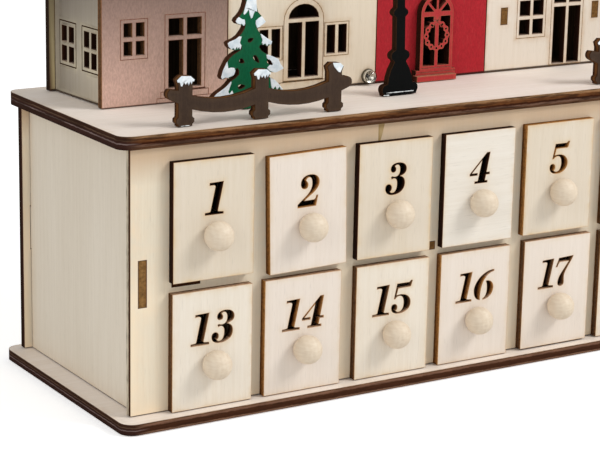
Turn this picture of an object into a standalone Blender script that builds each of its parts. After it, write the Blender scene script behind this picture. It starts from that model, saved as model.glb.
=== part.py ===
# Advent calendar of laser-cut plywood: a long case with two rows of numbered drawers,
# and a snowy street of houses, fences, fir trees and lamp posts standing on its lid.
# Metres, +Z up, the drawers face -Y, the street runs along X.
import math

import bmesh
import bpy

MM = 0.001

# Sheet stock and fits
PLY = 3.0 * MM                  # thickness of the plywood sheet
GAP = 0.3 * MM                  # glue or seating gap between two pieces
SLOT_FIT = 0.15 * MM            # clearance round a tab in its slot

# Drawer grid
COLUMNS = 12
COLUMN_PITCH = 38.0 * MM
ROW_PITCH = 45.8 * MM
FRONT_WIDTH = 32.0 * MM
FRONT_HEIGHT = 43.0 * MM
FRONT_LIFT = 0.35 * MM          # lowest drawer front above the base plate
SIDE_MARGIN = 14.7 * MM         # case end to the first drawer front
LID_MARGIN = 6.4 * MM           # highest drawer front to the lid

# Drawer trays and knobs
TRAY_WIDTH = 28.4 * MM
TRAY_HEIGHT = 38.0 * MM
TRAY_WALL = 2.0 * MM
TRAY_RISE = 2.5 * MM            # tray floor above the front's lower edge
TRAY_RUN = 0.3 * MM             # running clearance round a tray
KNOB_RADIUS = 5.3 * MM
KNOB_REACH = 3.7 * MM           # ball centre in front of the drawer front
KNOB_BASE = 3.3 * MM            # radius of the glued foot
KNOB_HEIGHT = 16.2 * MM         # knob centre above the front's lower edge
KNOB_STEPS = 16

# Case
CASE_DEPTH = 91.8 * MM          # outer face of the front panel to outer face of the back
TRAY_CLEARANCE = 7.8 * MM       # closed tray to the back panel
TRAY_DEPTH = CASE_DEPTH - PLY - TRAY_CLEARANCE
SIDE_INSET = 3.2 * MM           # end panels stand in from the ends of front and back
SIDE_TAB_LOW = 39.4 * MM
SIDE_TAB_HIGH = 56.0 * MM
SHELF_LIFT = 45.3 * MM
FLOOR_PLY = 2.2 * MM
TABBED_DIVIDERS = (3, 6, 9)
DIVIDER_TAB = 2.8 * MM

# Base plate and lid
BASE_THICKNESS = 4.0 * MM
BASE_SIDE = 5.7 * MM
BASE_FRONT = 7.6 * MM
BASE_BACK = 3.0 * MM
LID_THICKNESS = 4.7 * MM
LID_SIDE = 4.0 * MM
LID_FRONT = 1.5 * MM
LID_BACK = 1.5 * MM
CORNER_RADIUS = 5.0 * MM
CORNER_STEPS = 6

# Street on the lid, measured from the case's left end and front face
STREET_START = 11.2 * MM
BACK_SPREAD = 2.1 * MM          # the back panel reaches further out than the fronts
STREET_FRONT = 44.3 * MM
STREET_BACK = 86.4 * MM
WALL_INSET = 2.4 * MM
WALL_SPLAY = 2.3 * MM           # an end wall's back edge stands further out than its front
ROOF_EAVE_FRONT = 3.0 * MM
ROOF_EAVE_BACK = 1.0 * MM
BAR = 1.5 * MM                  # glazing bar between two panes
ARCH_RISE = 0.46                # arched pane's rise as a share of its width
ARC_STEPS = 10

# Derived sizes
FRONTS_SPAN = (COLUMNS - 1) * COLUMN_PITCH + FRONT_WIDTH
CASE_LENGTH = 2 * SIDE_MARGIN + FRONTS_SPAN
CASE_HEIGHT = FRONT_LIFT + ROW_PITCH + FRONT_HEIGHT + LID_MARGIN
CASE_FLOOR = BASE_THICKNESS
LID_FLOOR = CASE_FLOOR + CASE_HEIGHT
STREET_FLOOR = LID_FLOOR + LID_THICKNESS
KNOB_TIP = PLY + GAP + KNOB_REACH + KNOB_RADIUS
Y_CENTRE = (CASE_DEPTH + BASE_BACK - KNOB_TIP) / 2
X_CENTRE = CASE_LENGTH / 2

# How far the hand-glued fronts sit from their nominal place: right, up, turn in degrees
FRONT_SHIFT = {
    1: (0.2, 1.0, 0.0),
    2: (0.7, -0.5, 1.4),
    3: (-0.1, 0.0, 0.0),
    4: (-0.3, 0.0, 0.0),
    5: (-0.7, 0.1, 0.0),
    14: (-0.7, 0.0, 0.0),
    16: (-0.4, 0.0, 0.0),
    17: (0.6, 0.3, 0.0),
}

# Colours of paint and bare wood
WOOD = (0.80, 0.70, 0.55)
PALE_WOOD = (0.84, 0.77, 0.65)
EDGE_WOOD = (0.76, 0.68, 0.56)
MAUVE = (0.42, 0.26, 0.22)
RED = (0.48, 0.03, 0.05)
GREEN = (0.0, 0.12, 0.04)
BARK = (0.055, 0.035, 0.03)
BLACK = (0.01, 0.012, 0.012)
SNOW_ROOF = (0.70, 0.76, 0.80)
CLEAR = (0.85, 0.87, 0.88)

# The eight houses from left to right.
# Windows: kind, centre from the house's centre, lowest pane edge, width and height of
# the glazed area.
HOUSES = [
    {"width": 51.4, "eave": 56.0, "peak": 80.0, "gable": "plain", "paint": MAUVE,
     "windows": [("cross", -12.7, 18.6, 8.3, 11.8), ("french", 8.0, 5.6, 13.5, 25.4),
                 ("cross", -11.0, 43.0, 8.3, 10.0), ("cross", 11.0, 43.0, 8.3, 10.0),
                 ("round", 0.0, 61.0, 8.0, 8.0)]},
    {"width": 65.4, "eave": 60.0, "peak": 92.0, "gable": "bell", "paint": PALE_WOOD,
     "windows": [("arched", 0.0, 5.3, 13.2, 27.6), ("pair", 14.7, 13.4, 8.8, 10.8),
                 ("pair", -14.7, 13.4, 8.8, 10.8), ("cross", -15.0, 44.0, 9.0, 12.0),
                 ("cross", 15.0, 44.0, 9.0, 12.0), ("arched", 0.0, 44.0, 9.0, 14.0),
                 ("round", 0.0, 68.0, 9.0, 9.0)]},
    {"width": 51.9, "eave": 54.0, "peak": 86.0, "gable": "steps", "paint": RED,
     "windows": [("plain", 0.0, 3.2, 13.0, 26.0), ("cross", -12.0, 42.0, 8.3, 11.0),
                 ("cross", 12.0, 42.0, 8.3, 11.0), ("arched", 0.0, 59.0, 8.0, 11.0)]},
    {"width": 63.7, "eave": 52.0, "peak": 80.0, "gable": "plain", "paint": PALE_WOOD,
     "windows": [("cross", -9.4, 14.1, 11.8, 13.7), ("french", 8.7, 1.4, 13.6, 31.0),
                 ("cross", -15.0, 41.0, 9.0, 10.0), ("cross", 15.0, 41.0, 9.0, 10.0),
                 ("round", 0.0, 57.0, 9.0, 9.0)]},
    {"width": 56.0, "eave": 58.0, "peak": 88.0, "gable": "steps", "paint": MAUVE,
     "windows": [("french", -11.0, 5.6, 13.5, 25.4), ("cross", 12.0, 18.6, 8.3, 11.8),
                 ("cross", -12.0, 44.0, 8.3, 11.0), ("cross", 12.0, 44.0, 8.3, 11.0),
                 ("arched", 0.0, 62.0, 8.0, 11.0)]},
    {"width": 60.0, "eave": 54.0, "peak": 82.0, "gable": "plain", "paint": PALE_WOOD,
     "windows": [("arched", 0.0, 5.3, 13.2, 28.2), ("pair", 15.0, 13.4, 8.8, 10.8),
                 ("pair", -15.0, 13.4, 8.8, 10.8), ("cross", -14.0, 42.0, 9.0, 10.0),
                 ("cross", 14.0, 42.0, 9.0, 10.0), ("round", 0.0, 59.0, 9.0, 9.0)]},
    {"width": 52.0, "eave": 58.0, "peak": 88.0, "gable": "bell", "paint": RED,
     "windows": [("arched", 0.0, 4.0, 13.2, 28.2), ("pair", 16.0, 13.4, 8.0, 10.8),
                 ("pair", -16.0, 13.4, 8.0, 10.8), ("cross", -11.0, 44.0, 8.3, 11.0),
                 ("cross", 11.0, 44.0, 8.3, 11.0), ("round", 0.0, 65.0, 8.0, 8.0)]},
    {"width": 57.3, "eave": 52.0, "peak": 78.0, "gable": "plain", "paint": PALE_WOOD,
     "windows": [("cross", -11.0, 14.1, 11.8, 13.7), ("french", 9.0, 1.4, 14.0, 31.5),
                 ("cross", -13.0, 41.0, 8.3, 10.0), ("cross", 13.0, 41.0, 8.3, 10.0),
                 ("round", 0.0, 56.0, 8.0, 8.0)]},
]
TABBED_HOUSES = (3,)            # houses whose walls show tab ends in the front
WALL_TAB_LOW = 19.0 * MM
WALL_TAB_HIGH = 25.5 * MM
INNER_WALL = 23.0 * MM          # inner walls left and right of a house's centre

# Door layer of the red house
DOOR_HALF = 7.55 * MM
DOOR_SPRING = 26.0 * MM         # height where the arch springs
DOOR_BAND = 1.35 * MM
DOOR_SILL = 5.7 * MM
STEP_HALF = 9.2 * MM
STEP_HEIGHT = 4.1 * MM
TREAD_HEIGHT = 2.4 * MM
TREAD_LEFT_BY = 1.4 * MM        # the loose tread was glued on left of the middle
WREATH_HEIGHT = 17.4 * MM
WREATH_RADIUS = 4.9 * MM
WREATH_BEAD = 1.2 * MM
WREATH_BEADS = 12
BEAD_HOLE = 0.5 * MM

# Street furniture: left end or centre, and the front face
FENCE_FRONT = 4.5 * MM
FENCE_STARTS = (16.6 * MM, 200.6 * MM, 387.9 * MM)
FENCE_SPAN = 30.4 * MM          # post to post
POST_HALF = 2.7 * MM
POST_HEIGHT = 18.0 * MM
TREE_FRONT = 22.0 * MM
TREE_CENTRES = (59.0 * MM, 420.4 * MM)
LAMP_FRONT = 20.0 * MM
LAMP_CENTRES = (123.2 * MM, 357.2 * MM)
LAMP_LEAN = 1.2                 # degrees to the left, as glued
LED_X = 124.4 * MM
LED_Z = 3.1 * MM
LED_RADIUS = 2.5 * MM
LED_RIM = 2.85 * MM


# Scene and collections
for stale in list(bpy.data.objects):
    bpy.data.objects.remove(stale, do_unlink=True)

calendar = bpy.data.collections.new("advent_calendar")
bpy.context.scene.collection.children.link(calendar)
cutters = bpy.data.collections.new("cutters")
bpy.context.scene.collection.children.link(cutters)


def world(x, y, z):
    """Point given from the case's left end, front face and the ground."""
    return (x - X_CENTRE, y - Y_CENTRE, z)


def face_outward(bm):
    """Every face of a closed piece looks out of it."""
    bmesh.ops.recalc_face_normals(bm, faces=bm.faces)
    if bm.calc_volume(signed=True) < 0:
        bmesh.ops.reverse_faces(bm, faces=bm.faces)


# Pieces are plain meshes; pieces glued into one sub-part are fused
def box_piece(low, high):
    """Rectangular board between two corners."""
    bm = bmesh.new()
    bmesh.ops.create_cube(bm, size=1.0)
    for vert in bm.verts:
        for axis in range(3):
            middle = (low[axis] + high[axis]) / 2
            vert.co[axis] = middle + vert.co[axis] * (high[axis] - low[axis])
    piece = bpy.data.meshes.new("piece")
    bm.to_mesh(piece)
    bm.free()
    return piece


def sheet_piece(loops, low, high, plane):
    """Plate cut from sheet: closed outlines (first the rim, then the holes) in a plane.

    plane "xz" stands across Y, "yz" stands across X and "xy" lies flat.
    """
    curve = bpy.data.curves.new("outline", "CURVE")
    curve.dimensions = "2D"
    curve.fill_mode = "BOTH"
    curve.extrude = (high - low) / 2
    for loop in loops:
        spline = curve.splines.new("POLY")
        spline.points.add(len(loop) - 1)
        for point, (u, v) in zip(spline.points, loop):
            point.co = (u, v, 0.0, 1.0)
        spline.use_cyclic_u = True
    carrier = bpy.data.objects.new("outline", curve)
    calendar.objects.link(carrier)
    bpy.context.view_layer.update()
    piece = bpy.data.meshes.new_from_object(carrier)
    bpy.data.objects.remove(carrier, do_unlink=True)
    bpy.data.curves.remove(curve)
    middle = (low + high) / 2
    bm = bmesh.new()
    bm.from_mesh(piece)
    bmesh.ops.remove_doubles(bm, verts=bm.verts, dist=0.00001)
    for vert in bm.verts:
        u, v, depth = vert.co
        if plane == "xz":
            vert.co = (u, middle + depth, v)
        elif plane == "yz":
            vert.co = (middle + depth, u, v)
        else:
            vert.co = (u, v, middle + depth)
    face_outward(bm)
    bm.to_mesh(piece)
    bm.free()
    return piece


def turned_piece(profile, steps):
    """Turned shape about Y: profile of (radius, y) from the front tip to the foot."""
    mesh = bpy.data.meshes.new("profile")
    bm = bmesh.new()
    verts = [bm.verts.new((radius, 0.0, -along)) for radius, along in profile]
    for first, second in zip(verts, verts[1:]):
        bm.edges.new((first, second))
    bm.to_mesh(mesh)
    bm.free()
    carrier = bpy.data.objects.new("profile", mesh)
    calendar.objects.link(carrier)
    screw = carrier.modifiers.new("turn", "SCREW")
    screw.axis = "Z"
    screw.angle = 2 * math.pi
    screw.steps = steps
    screw.render_steps = steps
    screw.use_merge_vertices = True
    screw.merge_threshold = 0.00001
    bpy.context.view_layer.update()
    graph = bpy.context.evaluated_depsgraph_get()
    piece = bpy.data.meshes.new_from_object(carrier.evaluated_get(graph))
    bpy.data.objects.remove(carrier, do_unlink=True)
    bm = bmesh.new()
    bm.from_mesh(piece)
    bmesh.ops.remove_doubles(bm, verts=bm.verts, dist=0.00001)
    for vert in bm.verts:
        vert.co = (vert.co.x, -vert.co.z, vert.co.y)
    face_outward(bm)
    bm.to_mesh(piece)
    bm.free()
    return piece


def moved(piece, offset, turn=0.0, pivot=(0.0, 0.0, 0.0)):
    """Turn a piece about Y through a pivot, then shift it."""
    cosine = math.cos(turn)
    sine = math.sin(turn)
    for vert in piece.vertices:
        x = vert.co.x - pivot[0]
        z = vert.co.z - pivot[2]
        vert.co.x = pivot[0] + x * cosine - z * sine + offset[0]
        vert.co.y = vert.co.y + offset[1]
        vert.co.z = pivot[2] + x * sine + z * cosine + offset[2]
    return piece


def fused(first, others, operation="UNION"):
    """First piece joined with, or cut by, each of the others."""
    carrier = bpy.data.objects.new("carrier", first)
    calendar.objects.link(carrier)
    tools = []
    for other in others:
        tool = bpy.data.objects.new("tool", other)
        cutters.objects.link(tool)
        tools.append(tool)
        boolean = carrier.modifiers.new("fuse", "BOOLEAN")
        boolean.operation = operation
        boolean.solver = "EXACT"
        boolean.object = tool
    bpy.context.view_layer.update()
    graph = bpy.context.evaluated_depsgraph_get()
    piece = bpy.data.meshes.new_from_object(carrier.evaluated_get(graph))
    for spent in [carrier] + tools:
        mesh = spent.data
        bpy.data.objects.remove(spent, do_unlink=True)
        bpy.data.meshes.remove(mesh)
    bm = bmesh.new()
    bm.from_mesh(piece)
    bmesh.ops.remove_doubles(bm, verts=bm.verts, dist=0.000002)
    bmesh.ops.dissolve_limit(bm, angle_limit=0.0005, verts=bm.verts, edges=bm.edges)
    bmesh.ops.triangulate(bm, faces=bm.faces)
    face_outward(bm)
    bm.to_mesh(piece)
    bm.free()
    return piece


def node(name, piece, colour, origin=(0.0, 0.0, 0.0), roughness=0.65, clear=False):
    """One named sub-part with its own material; origin is in case coordinates."""
    bm = bmesh.new()
    bm.from_mesh(piece)
    bpy.data.meshes.remove(piece)
    pivot = world(*origin)
    for vert in bm.verts:
        x, y, z = world(*vert.co)
        vert.co = (x - pivot[0], y - pivot[1], z - pivot[2])
    mesh = bpy.data.meshes.new(name)
    bm.to_mesh(mesh)
    bm.free()
    material = bpy.data.materials.new(name)
    material.use_nodes = True
    shader = material.node_tree.nodes["Principled BSDF"]
    shader.inputs["Base Color"].default_value = (*colour, 1.0)
    shader.inputs["Roughness"].default_value = roughness
    if clear:
        shader.inputs["Transmission Weight"].default_value = 0.9
    mesh.materials.append(material)
    part = bpy.data.objects.new(name, mesh)
    part.location = pivot
    calendar.objects.link(part)
    return part


# Outline helpers
def rect(left, right, low, high):
    return [(left, low), (right, low), (right, high), (left, high)]


def arc(u, v, radius, start, end, steps):
    """Points of an arc, angles in degrees."""
    points = []
    for step in range(steps + 1):
        angle = math.radians(start + (end - start) * step / steps)
        points.append((u + radius * math.cos(angle), v + radius * math.sin(angle)))
    return points


def rounded_rect(left, right, low, high, radius):
    return (arc(left + radius, low + radius, radius, 180, 270, CORNER_STEPS)
            + arc(right - radius, low + radius, radius, 270, 360, CORNER_STEPS)
            + arc(right - radius, high - radius, radius, 0, 90, CORNER_STEPS)
            + arc(left + radius, high - radius, radius, 90, 180, CORNER_STEPS))


def mirrored(right_side, centre):
    """Closed outline from its right half, listed from the bottom to the top."""
    right = [(centre + u, v) for u, v in right_side]
    left = [(centre - u, v) for u, v in reversed(right_side) if u > 1e-9]
    return right + left


# Base plate and lid, both with rounded corners
base_rim = rounded_rect(-BASE_SIDE, CASE_LENGTH + BASE_SIDE,
                        -BASE_FRONT, CASE_DEPTH + BASE_BACK, CORNER_RADIUS)
node("base_plate", sheet_piece([base_rim], 0.0, BASE_THICKNESS, "xy"), PALE_WOOD)

lid_rim = rounded_rect(-LID_SIDE, CASE_LENGTH + LID_SIDE,
                       -LID_FRONT, CASE_DEPTH + LID_BACK, CORNER_RADIUS)
node("top_plate", sheet_piece([lid_rim], LID_FLOOR, STREET_FLOOR, "xy"), PALE_WOOD)


# Case panels: the front has an opening per drawer and slots for the tabs
def front_left(column):
    return SIDE_MARGIN + column * COLUMN_PITCH


def front_low(row):
    """Lower edge of the drawer fronts; row 0 is the lower one."""
    return CASE_FLOOR + FRONT_LIFT + row * ROW_PITCH


def divider_x(number):
    """Middle of the upright between drawer columns number and number + 1."""
    return front_left(number) - (COLUMN_PITCH - FRONT_WIDTH) / 2


panel_low = CASE_FLOOR + GAP
panel_high = LID_FLOOR - GAP
end_tab = (CASE_FLOOR + SIDE_TAB_LOW, CASE_FLOOR + SIDE_TAB_HIGH)
shelf_low = CASE_FLOOR + SHELF_LIFT
shelf_high = shelf_low + PLY - GAP
divider_tab = (shelf_low, shelf_low + DIVIDER_TAB)
end_panels = ((SIDE_INSET, SIDE_INSET + PLY),
              (CASE_LENGTH - SIDE_INSET - PLY, CASE_LENGTH - SIDE_INSET))

end_slots = []
for left, right in end_panels:
    end_slots.append(rect(left - SLOT_FIT, right + SLOT_FIT,
                          end_tab[0] - SLOT_FIT, end_tab[1] + SLOT_FIT))
divider_slots = []
for number in TABBED_DIVIDERS:
    middle = divider_x(number)
    divider_slots.append(rect(middle - PLY / 2 - SLOT_FIT, middle + PLY / 2 + SLOT_FIT,
                              divider_tab[0] - SLOT_FIT, divider_tab[1] + SLOT_FIT))
openings = []
for row in range(2):
    for column in range(COLUMNS):
        middle = front_left(column) + FRONT_WIDTH / 2
        low = front_low(row) + TRAY_RISE - TRAY_RUN
        openings.append(rect(middle - TRAY_WIDTH / 2 - TRAY_RUN,
                             middle + TRAY_WIDTH / 2 + TRAY_RUN,
                             low, low + TRAY_HEIGHT + 2 * TRAY_RUN))

panel_rim = rect(0.0, CASE_LENGTH, panel_low, panel_high)
node("front_panel",
     sheet_piece([panel_rim] + end_slots + divider_slots + openings, 0.0, PLY, "xz"),
     PALE_WOOD)
node("back_panel",
     sheet_piece([panel_rim] + end_slots + divider_slots,
                 CASE_DEPTH - PLY, CASE_DEPTH, "xz"),
     PALE_WOOD)


def tabbed_outline(low, high, tab):
    """Board across the depth of the case, with a tab into the front and back panels."""
    near = PLY + GAP
    far = CASE_DEPTH - PLY - GAP
    return [(near, low), (far, low), (far, tab[0]), (CASE_DEPTH, tab[0]),
            (CASE_DEPTH, tab[1]), (far, tab[1]), (far, high), (near, high),
            (near, tab[1]), (0.0, tab[1]), (0.0, tab[0]), (near, tab[0])]


for label, (left, right) in zip(("left", "right"), end_panels):
    outline = tabbed_outline(panel_low, panel_high, end_tab)
    node("side_panel_" + label, sheet_piece([outline], left, right, "yz"), EDGE_WOOD)

# Drawer grid: a floor board and a shelf crossed by eleven uprights; the tabbed uprights
# reach through the front panel between the two rows
grid_near = PLY + GAP
grid_far = CASE_DEPTH - PLY - GAP
grid_left = end_panels[0][1] + GAP
grid_right = end_panels[1][0] - GAP
grid_floor = box_piece((grid_left, grid_near, CASE_FLOOR + GAP),
                       (grid_right, grid_far, CASE_FLOOR + FLOOR_PLY))
grid_boards = [box_piece((grid_left, grid_near, shelf_low),
                         (grid_right, grid_far, shelf_high))]
for number in range(1, COLUMNS):
    left = divider_x(number) - PLY / 2
    right = left + PLY
    low = CASE_FLOOR + FLOOR_PLY - GAP
    if number in TABBED_DIVIDERS:
        outline = tabbed_outline(low, panel_high, divider_tab)
        grid_boards.append(sheet_piece([outline], left, right, "yz"))
    else:
        grid_boards.append(box_piece((left, grid_near + GAP, low),
                                     (right, grid_far - GAP, panel_high)))
node("drawer_grid", fused(grid_floor, grid_boards), WOOD)


# Drawers: lay-on front, turned ball knob and an open tray, sliding out along -Y
def knob_profile():
    """Ball with a short foot glued to the drawer front."""
    foot = -PLY - GAP
    centre = foot - KNOB_REACH
    neck = math.degrees(math.asin(KNOB_BASE / KNOB_RADIUS))
    points = []
    for step in range(9):
        angle = math.radians((180 - neck) * step / 8)
        points.append((KNOB_RADIUS * math.sin(angle), centre - KNOB_RADIUS * math.cos(angle)))
    points[0] = (0.0, centre - KNOB_RADIUS)
    points.append((KNOB_BASE, foot + PLY / 4))
    points.append((0.0, foot + PLY / 4))
    return points


def drawer(number, row, column):
    left = front_left(column)
    low = front_low(row)
    middle = left + FRONT_WIDTH / 2
    right_by, up_by, turn = FRONT_SHIFT.get(number, (0.0, 0.0, 0.0))
    shift = (right_by * MM, 0.0, up_by * MM)
    pivot = (middle, 0.0, low + FRONT_HEIGHT / 2)
    front = box_piece((left, -PLY - GAP, low), (left + FRONT_WIDTH, -GAP, low + FRONT_HEIGHT))
    front = moved(front, shift, math.radians(turn), pivot)
    knob = turned_piece(knob_profile(), KNOB_STEPS)
    knob = moved(knob, (middle + shift[0], -GAP, low + KNOB_HEIGHT + shift[2]))
    left = middle - TRAY_WIDTH / 2
    right = middle + TRAY_WIDTH / 2
    floor = low + TRAY_RISE
    top = floor + TRAY_HEIGHT
    tray = box_piece((left, -GAP - PLY / 2, floor), (right, TRAY_DEPTH, top))
    hollow = box_piece((left + TRAY_WALL, -GAP, floor + TRAY_WALL),
                       (right - TRAY_WALL, TRAY_DEPTH - TRAY_WALL, top + PLY))
    body = fused(fused(front, [tray, knob]), [hollow], "DIFFERENCE")
    origin = (middle, -PLY - GAP, low + KNOB_HEIGHT)
    node("drawer_%02d" % number, body, PALE_WOOD, origin)


for number in range(1, 2 * COLUMNS + 1):
    upper = number <= COLUMNS
    column = number - 1 if upper else number - 1 - COLUMNS
    drawer(number, 1 if upper else 0, column)


# House fronts
def window_holes(kind, centre, low, width, height):
    """Pane outlines of one window; centre and low are absolute."""
    left = centre - width / 2
    right = centre + width / 2
    high = low + height
    half = BAR / 2
    if kind == "plain":
        return [rect(left, right, low, high)]
    if kind == "pair":
        return [rect(left, centre - half, low, high), rect(centre + half, right, low, high)]
    if kind == "round":
        radius = width / 2
        return [arc(centre, low + radius, radius, 0, 360 - 360 / 16, 15)]
    if kind == "arched":
        spring = high - ARCH_RISE * width
        lower = [rect(left, centre - half, low, spring - half),
                 rect(centre + half, right, low, spring - half)]
        crown = arc(centre, 0.0, width / 2, 0, 180, ARC_STEPS)
        stretch = (high - spring - half) / (width / 2)
        return lower + [[(u, spring + half + v * stretch) for u, v in crown]]
    split = low + height / 2 if kind == "cross" else high - 7.2 * MM
    holes = []
    for bottom, top in ((low, split - half), (split + half, high)):
        holes.append(rect(left, centre - half, bottom, top))
        holes.append(rect(centre + half, right, bottom, top))
    return holes


def gable_outline(centre, half, eave, peak, style):
    """Closed rim of a house front, from its feet up."""
    foot = STREET_FLOOR + GAP
    eave = STREET_FLOOR + eave
    peak = STREET_FLOOR + peak
    side = [(half, foot)]
    if style == "plain":
        side += [(half, eave - GAP), (0.0, peak - GAP)]
    elif style == "steps":
        steps = 4
        width = half / (steps + 0.5)
        rise = (peak - eave) / steps
        for step in range(steps):
            side.append((half - step * width, eave + (step + 0.6) * rise))
            side.append((half - (step + 1) * width, eave + (step + 0.6) * rise))
        side.append((width / 2, peak + 0.6 * rise))
    else:
        shoulder = half * 0.52
        crown = half * 0.30
        side.append((half, eave + 3.0 * MM))
        rise = peak - eave - crown
        for step in range(ARC_STEPS + 1):
            angle = math.radians(90 * step / ARC_STEPS)
            side.append((half - 1.5 * MM - (half - shoulder - 1.5 * MM) * math.sin(angle),
                         eave + 4.5 * MM + (rise - 4.5 * MM) * (1 - math.cos(angle))))
        side.append((shoulder, eave + rise + 1.5 * MM))
        side.append((crown, eave + rise + 1.5 * MM))
        side += arc(0.0, eave + rise + 2.0 * MM, crown, 0, 80, 5)
        side.append((0.0, eave + rise + 2.0 * MM + crown))
    return mirrored(side, centre)


def roof_line(house, offset):
    """Height of the roof's underside at an offset from the house's centre."""
    half = house["half"]
    slope = (house["peak"] - house["eave"]) / half
    return STREET_FLOOR + house["eave"] + slope * (half - abs(offset))


edge = STREET_START
for house in HOUSES:
    for key in ("width", "eave", "peak"):
        house[key] = house[key] * MM
    house["half"] = house["width"] / 2
    house["centre"] = edge + house["half"]
    if house["gable"] != "plain":
        house["peak"] = house["peak"] - 10.0 * MM
    edge += house["width"]
street_end = edge

for index, house in enumerate(HOUSES):
    centre = house["centre"]
    half = house["half"] - GAP / 2
    rim_peak = house["peak"] if house["gable"] == "plain" else house["peak"] + 10.0 * MM
    if house["gable"] == "steps":
        rim_peak = house["peak"] + 4.0 * MM
    rim = gable_outline(centre, half, house["eave"], rim_peak, house["gable"])
    holes = []
    for kind, offset, low, width, height in house["windows"]:
        holes += window_holes(kind, centre + offset * MM, STREET_FLOOR + low * MM,
                              width * MM, height * MM)
    if index in TABBED_HOUSES:
        for side in (-1, 1):
            middle = centre + side * INNER_WALL
            holes.append(rect(middle - PLY / 2 - SLOT_FIT, middle + PLY / 2 + SLOT_FIT,
                              STREET_FLOOR + WALL_TAB_LOW - SLOT_FIT,
                              STREET_FLOOR + WALL_TAB_HIGH + SLOT_FIT))
    if index == 1:
        holes.append(arc(LED_X, STREET_FLOOR + LED_Z + GAP, LED_RADIUS + SLOT_FIT,
                         0, 360 - 360 / 16, 15))
    node("house_front_%d" % (index + 1),
         sheet_piece([rim] + holes, STREET_FRONT, STREET_FRONT + PLY, "xz"),
         house["paint"])

# One back panel under all the roofs, later joined with the inner walls
back_rim = [(STREET_START - BACK_SPREAD, STREET_FLOOR + GAP),
            (street_end + BACK_SPREAD, STREET_FLOOR + GAP)]
for place, house in reversed(list(enumerate(HOUSES))):
    left = house["half"] + (BACK_SPREAD if place == 0 else 0.0)
    right = house["half"] + (BACK_SPREAD if place == len(HOUSES) - 1 else 0.0)
    back_rim.append((house["centre"] + right, roof_line(house, right) - GAP))
    back_rim.append((house["centre"], roof_line(house, 0.0) - GAP))
    back_rim.append((house["centre"] - left, roof_line(house, left) - GAP))
street_back = sheet_piece([back_rim], STREET_BACK - PLY, STREET_BACK, "xz")

# Roofs: two sloping boards glued at the ridge, over the front where the gable is plain
for index, house in enumerate(HOUSES):
    near = STREET_FRONT + PLY + GAP
    if house["gable"] == "plain":
        near = STREET_FRONT - ROOF_EAVE_FRONT
    far = STREET_BACK + ROOF_EAVE_BACK
    slope = (house["peak"] - house["eave"]) / house["half"]
    lift = PLY * math.sqrt(1 + slope * slope)
    left = house["half"] - GAP + (BACK_SPREAD if index == 0 else 0.0)
    right = house["half"] - GAP + (BACK_SPREAD if index == len(HOUSES) - 1 else 0.0)
    underside = [(house["centre"] + u, roof_line(house, u)) for u in (-left, 0.0, right)]
    topside = [(u, v + lift) for u, v in reversed(underside)]
    node("roof_%d" % (index + 1), sheet_piece([underside + topside], near, far, "xz"),
         SNOW_ROOF)


# Walls across the street: the two windowed end walls, whose back edges stand a little
# further out than their front edges, and the inner walls
def splayed(piece, side):
    """Shift each point of an end wall outwards, the more the nearer it is to the back."""
    near = STREET_FRONT + PLY + GAP
    depth = STREET_BACK - PLY - near
    for vert in piece.vertices:
        vert.co.x += side * WALL_SPLAY * (vert.co.y - near) / depth
    return piece


def wall_outline(house, offset, tabbed, seat, splay=0.0):
    near = STREET_FRONT + PLY + GAP
    far = STREET_BACK - PLY + seat
    low = STREET_FLOOR + 1.5 * GAP
    reach = abs(offset) + PLY / 2 + splay
    high = roof_line(house, reach) - 2 * GAP
    outline = [(near, low), (far, low), (far, high), (near, high)]
    if tabbed:
        outline += [(near, STREET_FLOOR + WALL_TAB_HIGH),
                    (STREET_FRONT, STREET_FLOOR + WALL_TAB_HIGH),
                    (STREET_FRONT, STREET_FLOOR + WALL_TAB_LOW),
                    (near, STREET_FLOOR + WALL_TAB_LOW)]
    return outline


END_WINDOW = {"width": 9.0 * MM, "height": 13.2 * MM, "low": 12.6 * MM}
END_WINDOW_Y = (56.9 * MM, 73.3 * MM)
walls = []
for index, house in enumerate(HOUSES):
    for side in (-1, 1):
        offset = side * INNER_WALL
        is_end = (index == 0 and side < 0) or (index == len(HOUSES) - 1 and side > 0)
        if is_end:
            offset = side * (house["half"] - WALL_INSET - PLY / 2)
        middle = house["centre"] + offset
        if is_end:
            outline = wall_outline(house, offset, False, -1.5 * GAP, WALL_SPLAY)
            holes = []
            for y in END_WINDOW_Y:
                holes += window_holes("cross", y, STREET_FLOOR + END_WINDOW["low"],
                                      END_WINDOW["width"], END_WINDOW["height"])
            label = "left" if side < 0 else "right"
            wall = sheet_piece([outline] + holes, middle - PLY / 2, middle + PLY / 2, "yz")
            node("end_wall_" + label, splayed(wall, side), EDGE_WOOD)
        else:
            outline = wall_outline(house, offset, index in TABBED_HOUSES, GAP)
            walls.append(sheet_piece([outline], middle - PLY / 2, middle + PLY / 2, "yz"))
node("street_back", fused(street_back, walls), WOOD)


# Door layer of the red house: arched frame with a fan light and a pierced wreath
def ray_point(centre, angle, radius):
    return (centre + radius * math.cos(math.radians(angle)),
            STREET_FLOOR + DOOR_SPRING + radius * math.sin(math.radians(angle)))


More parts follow.
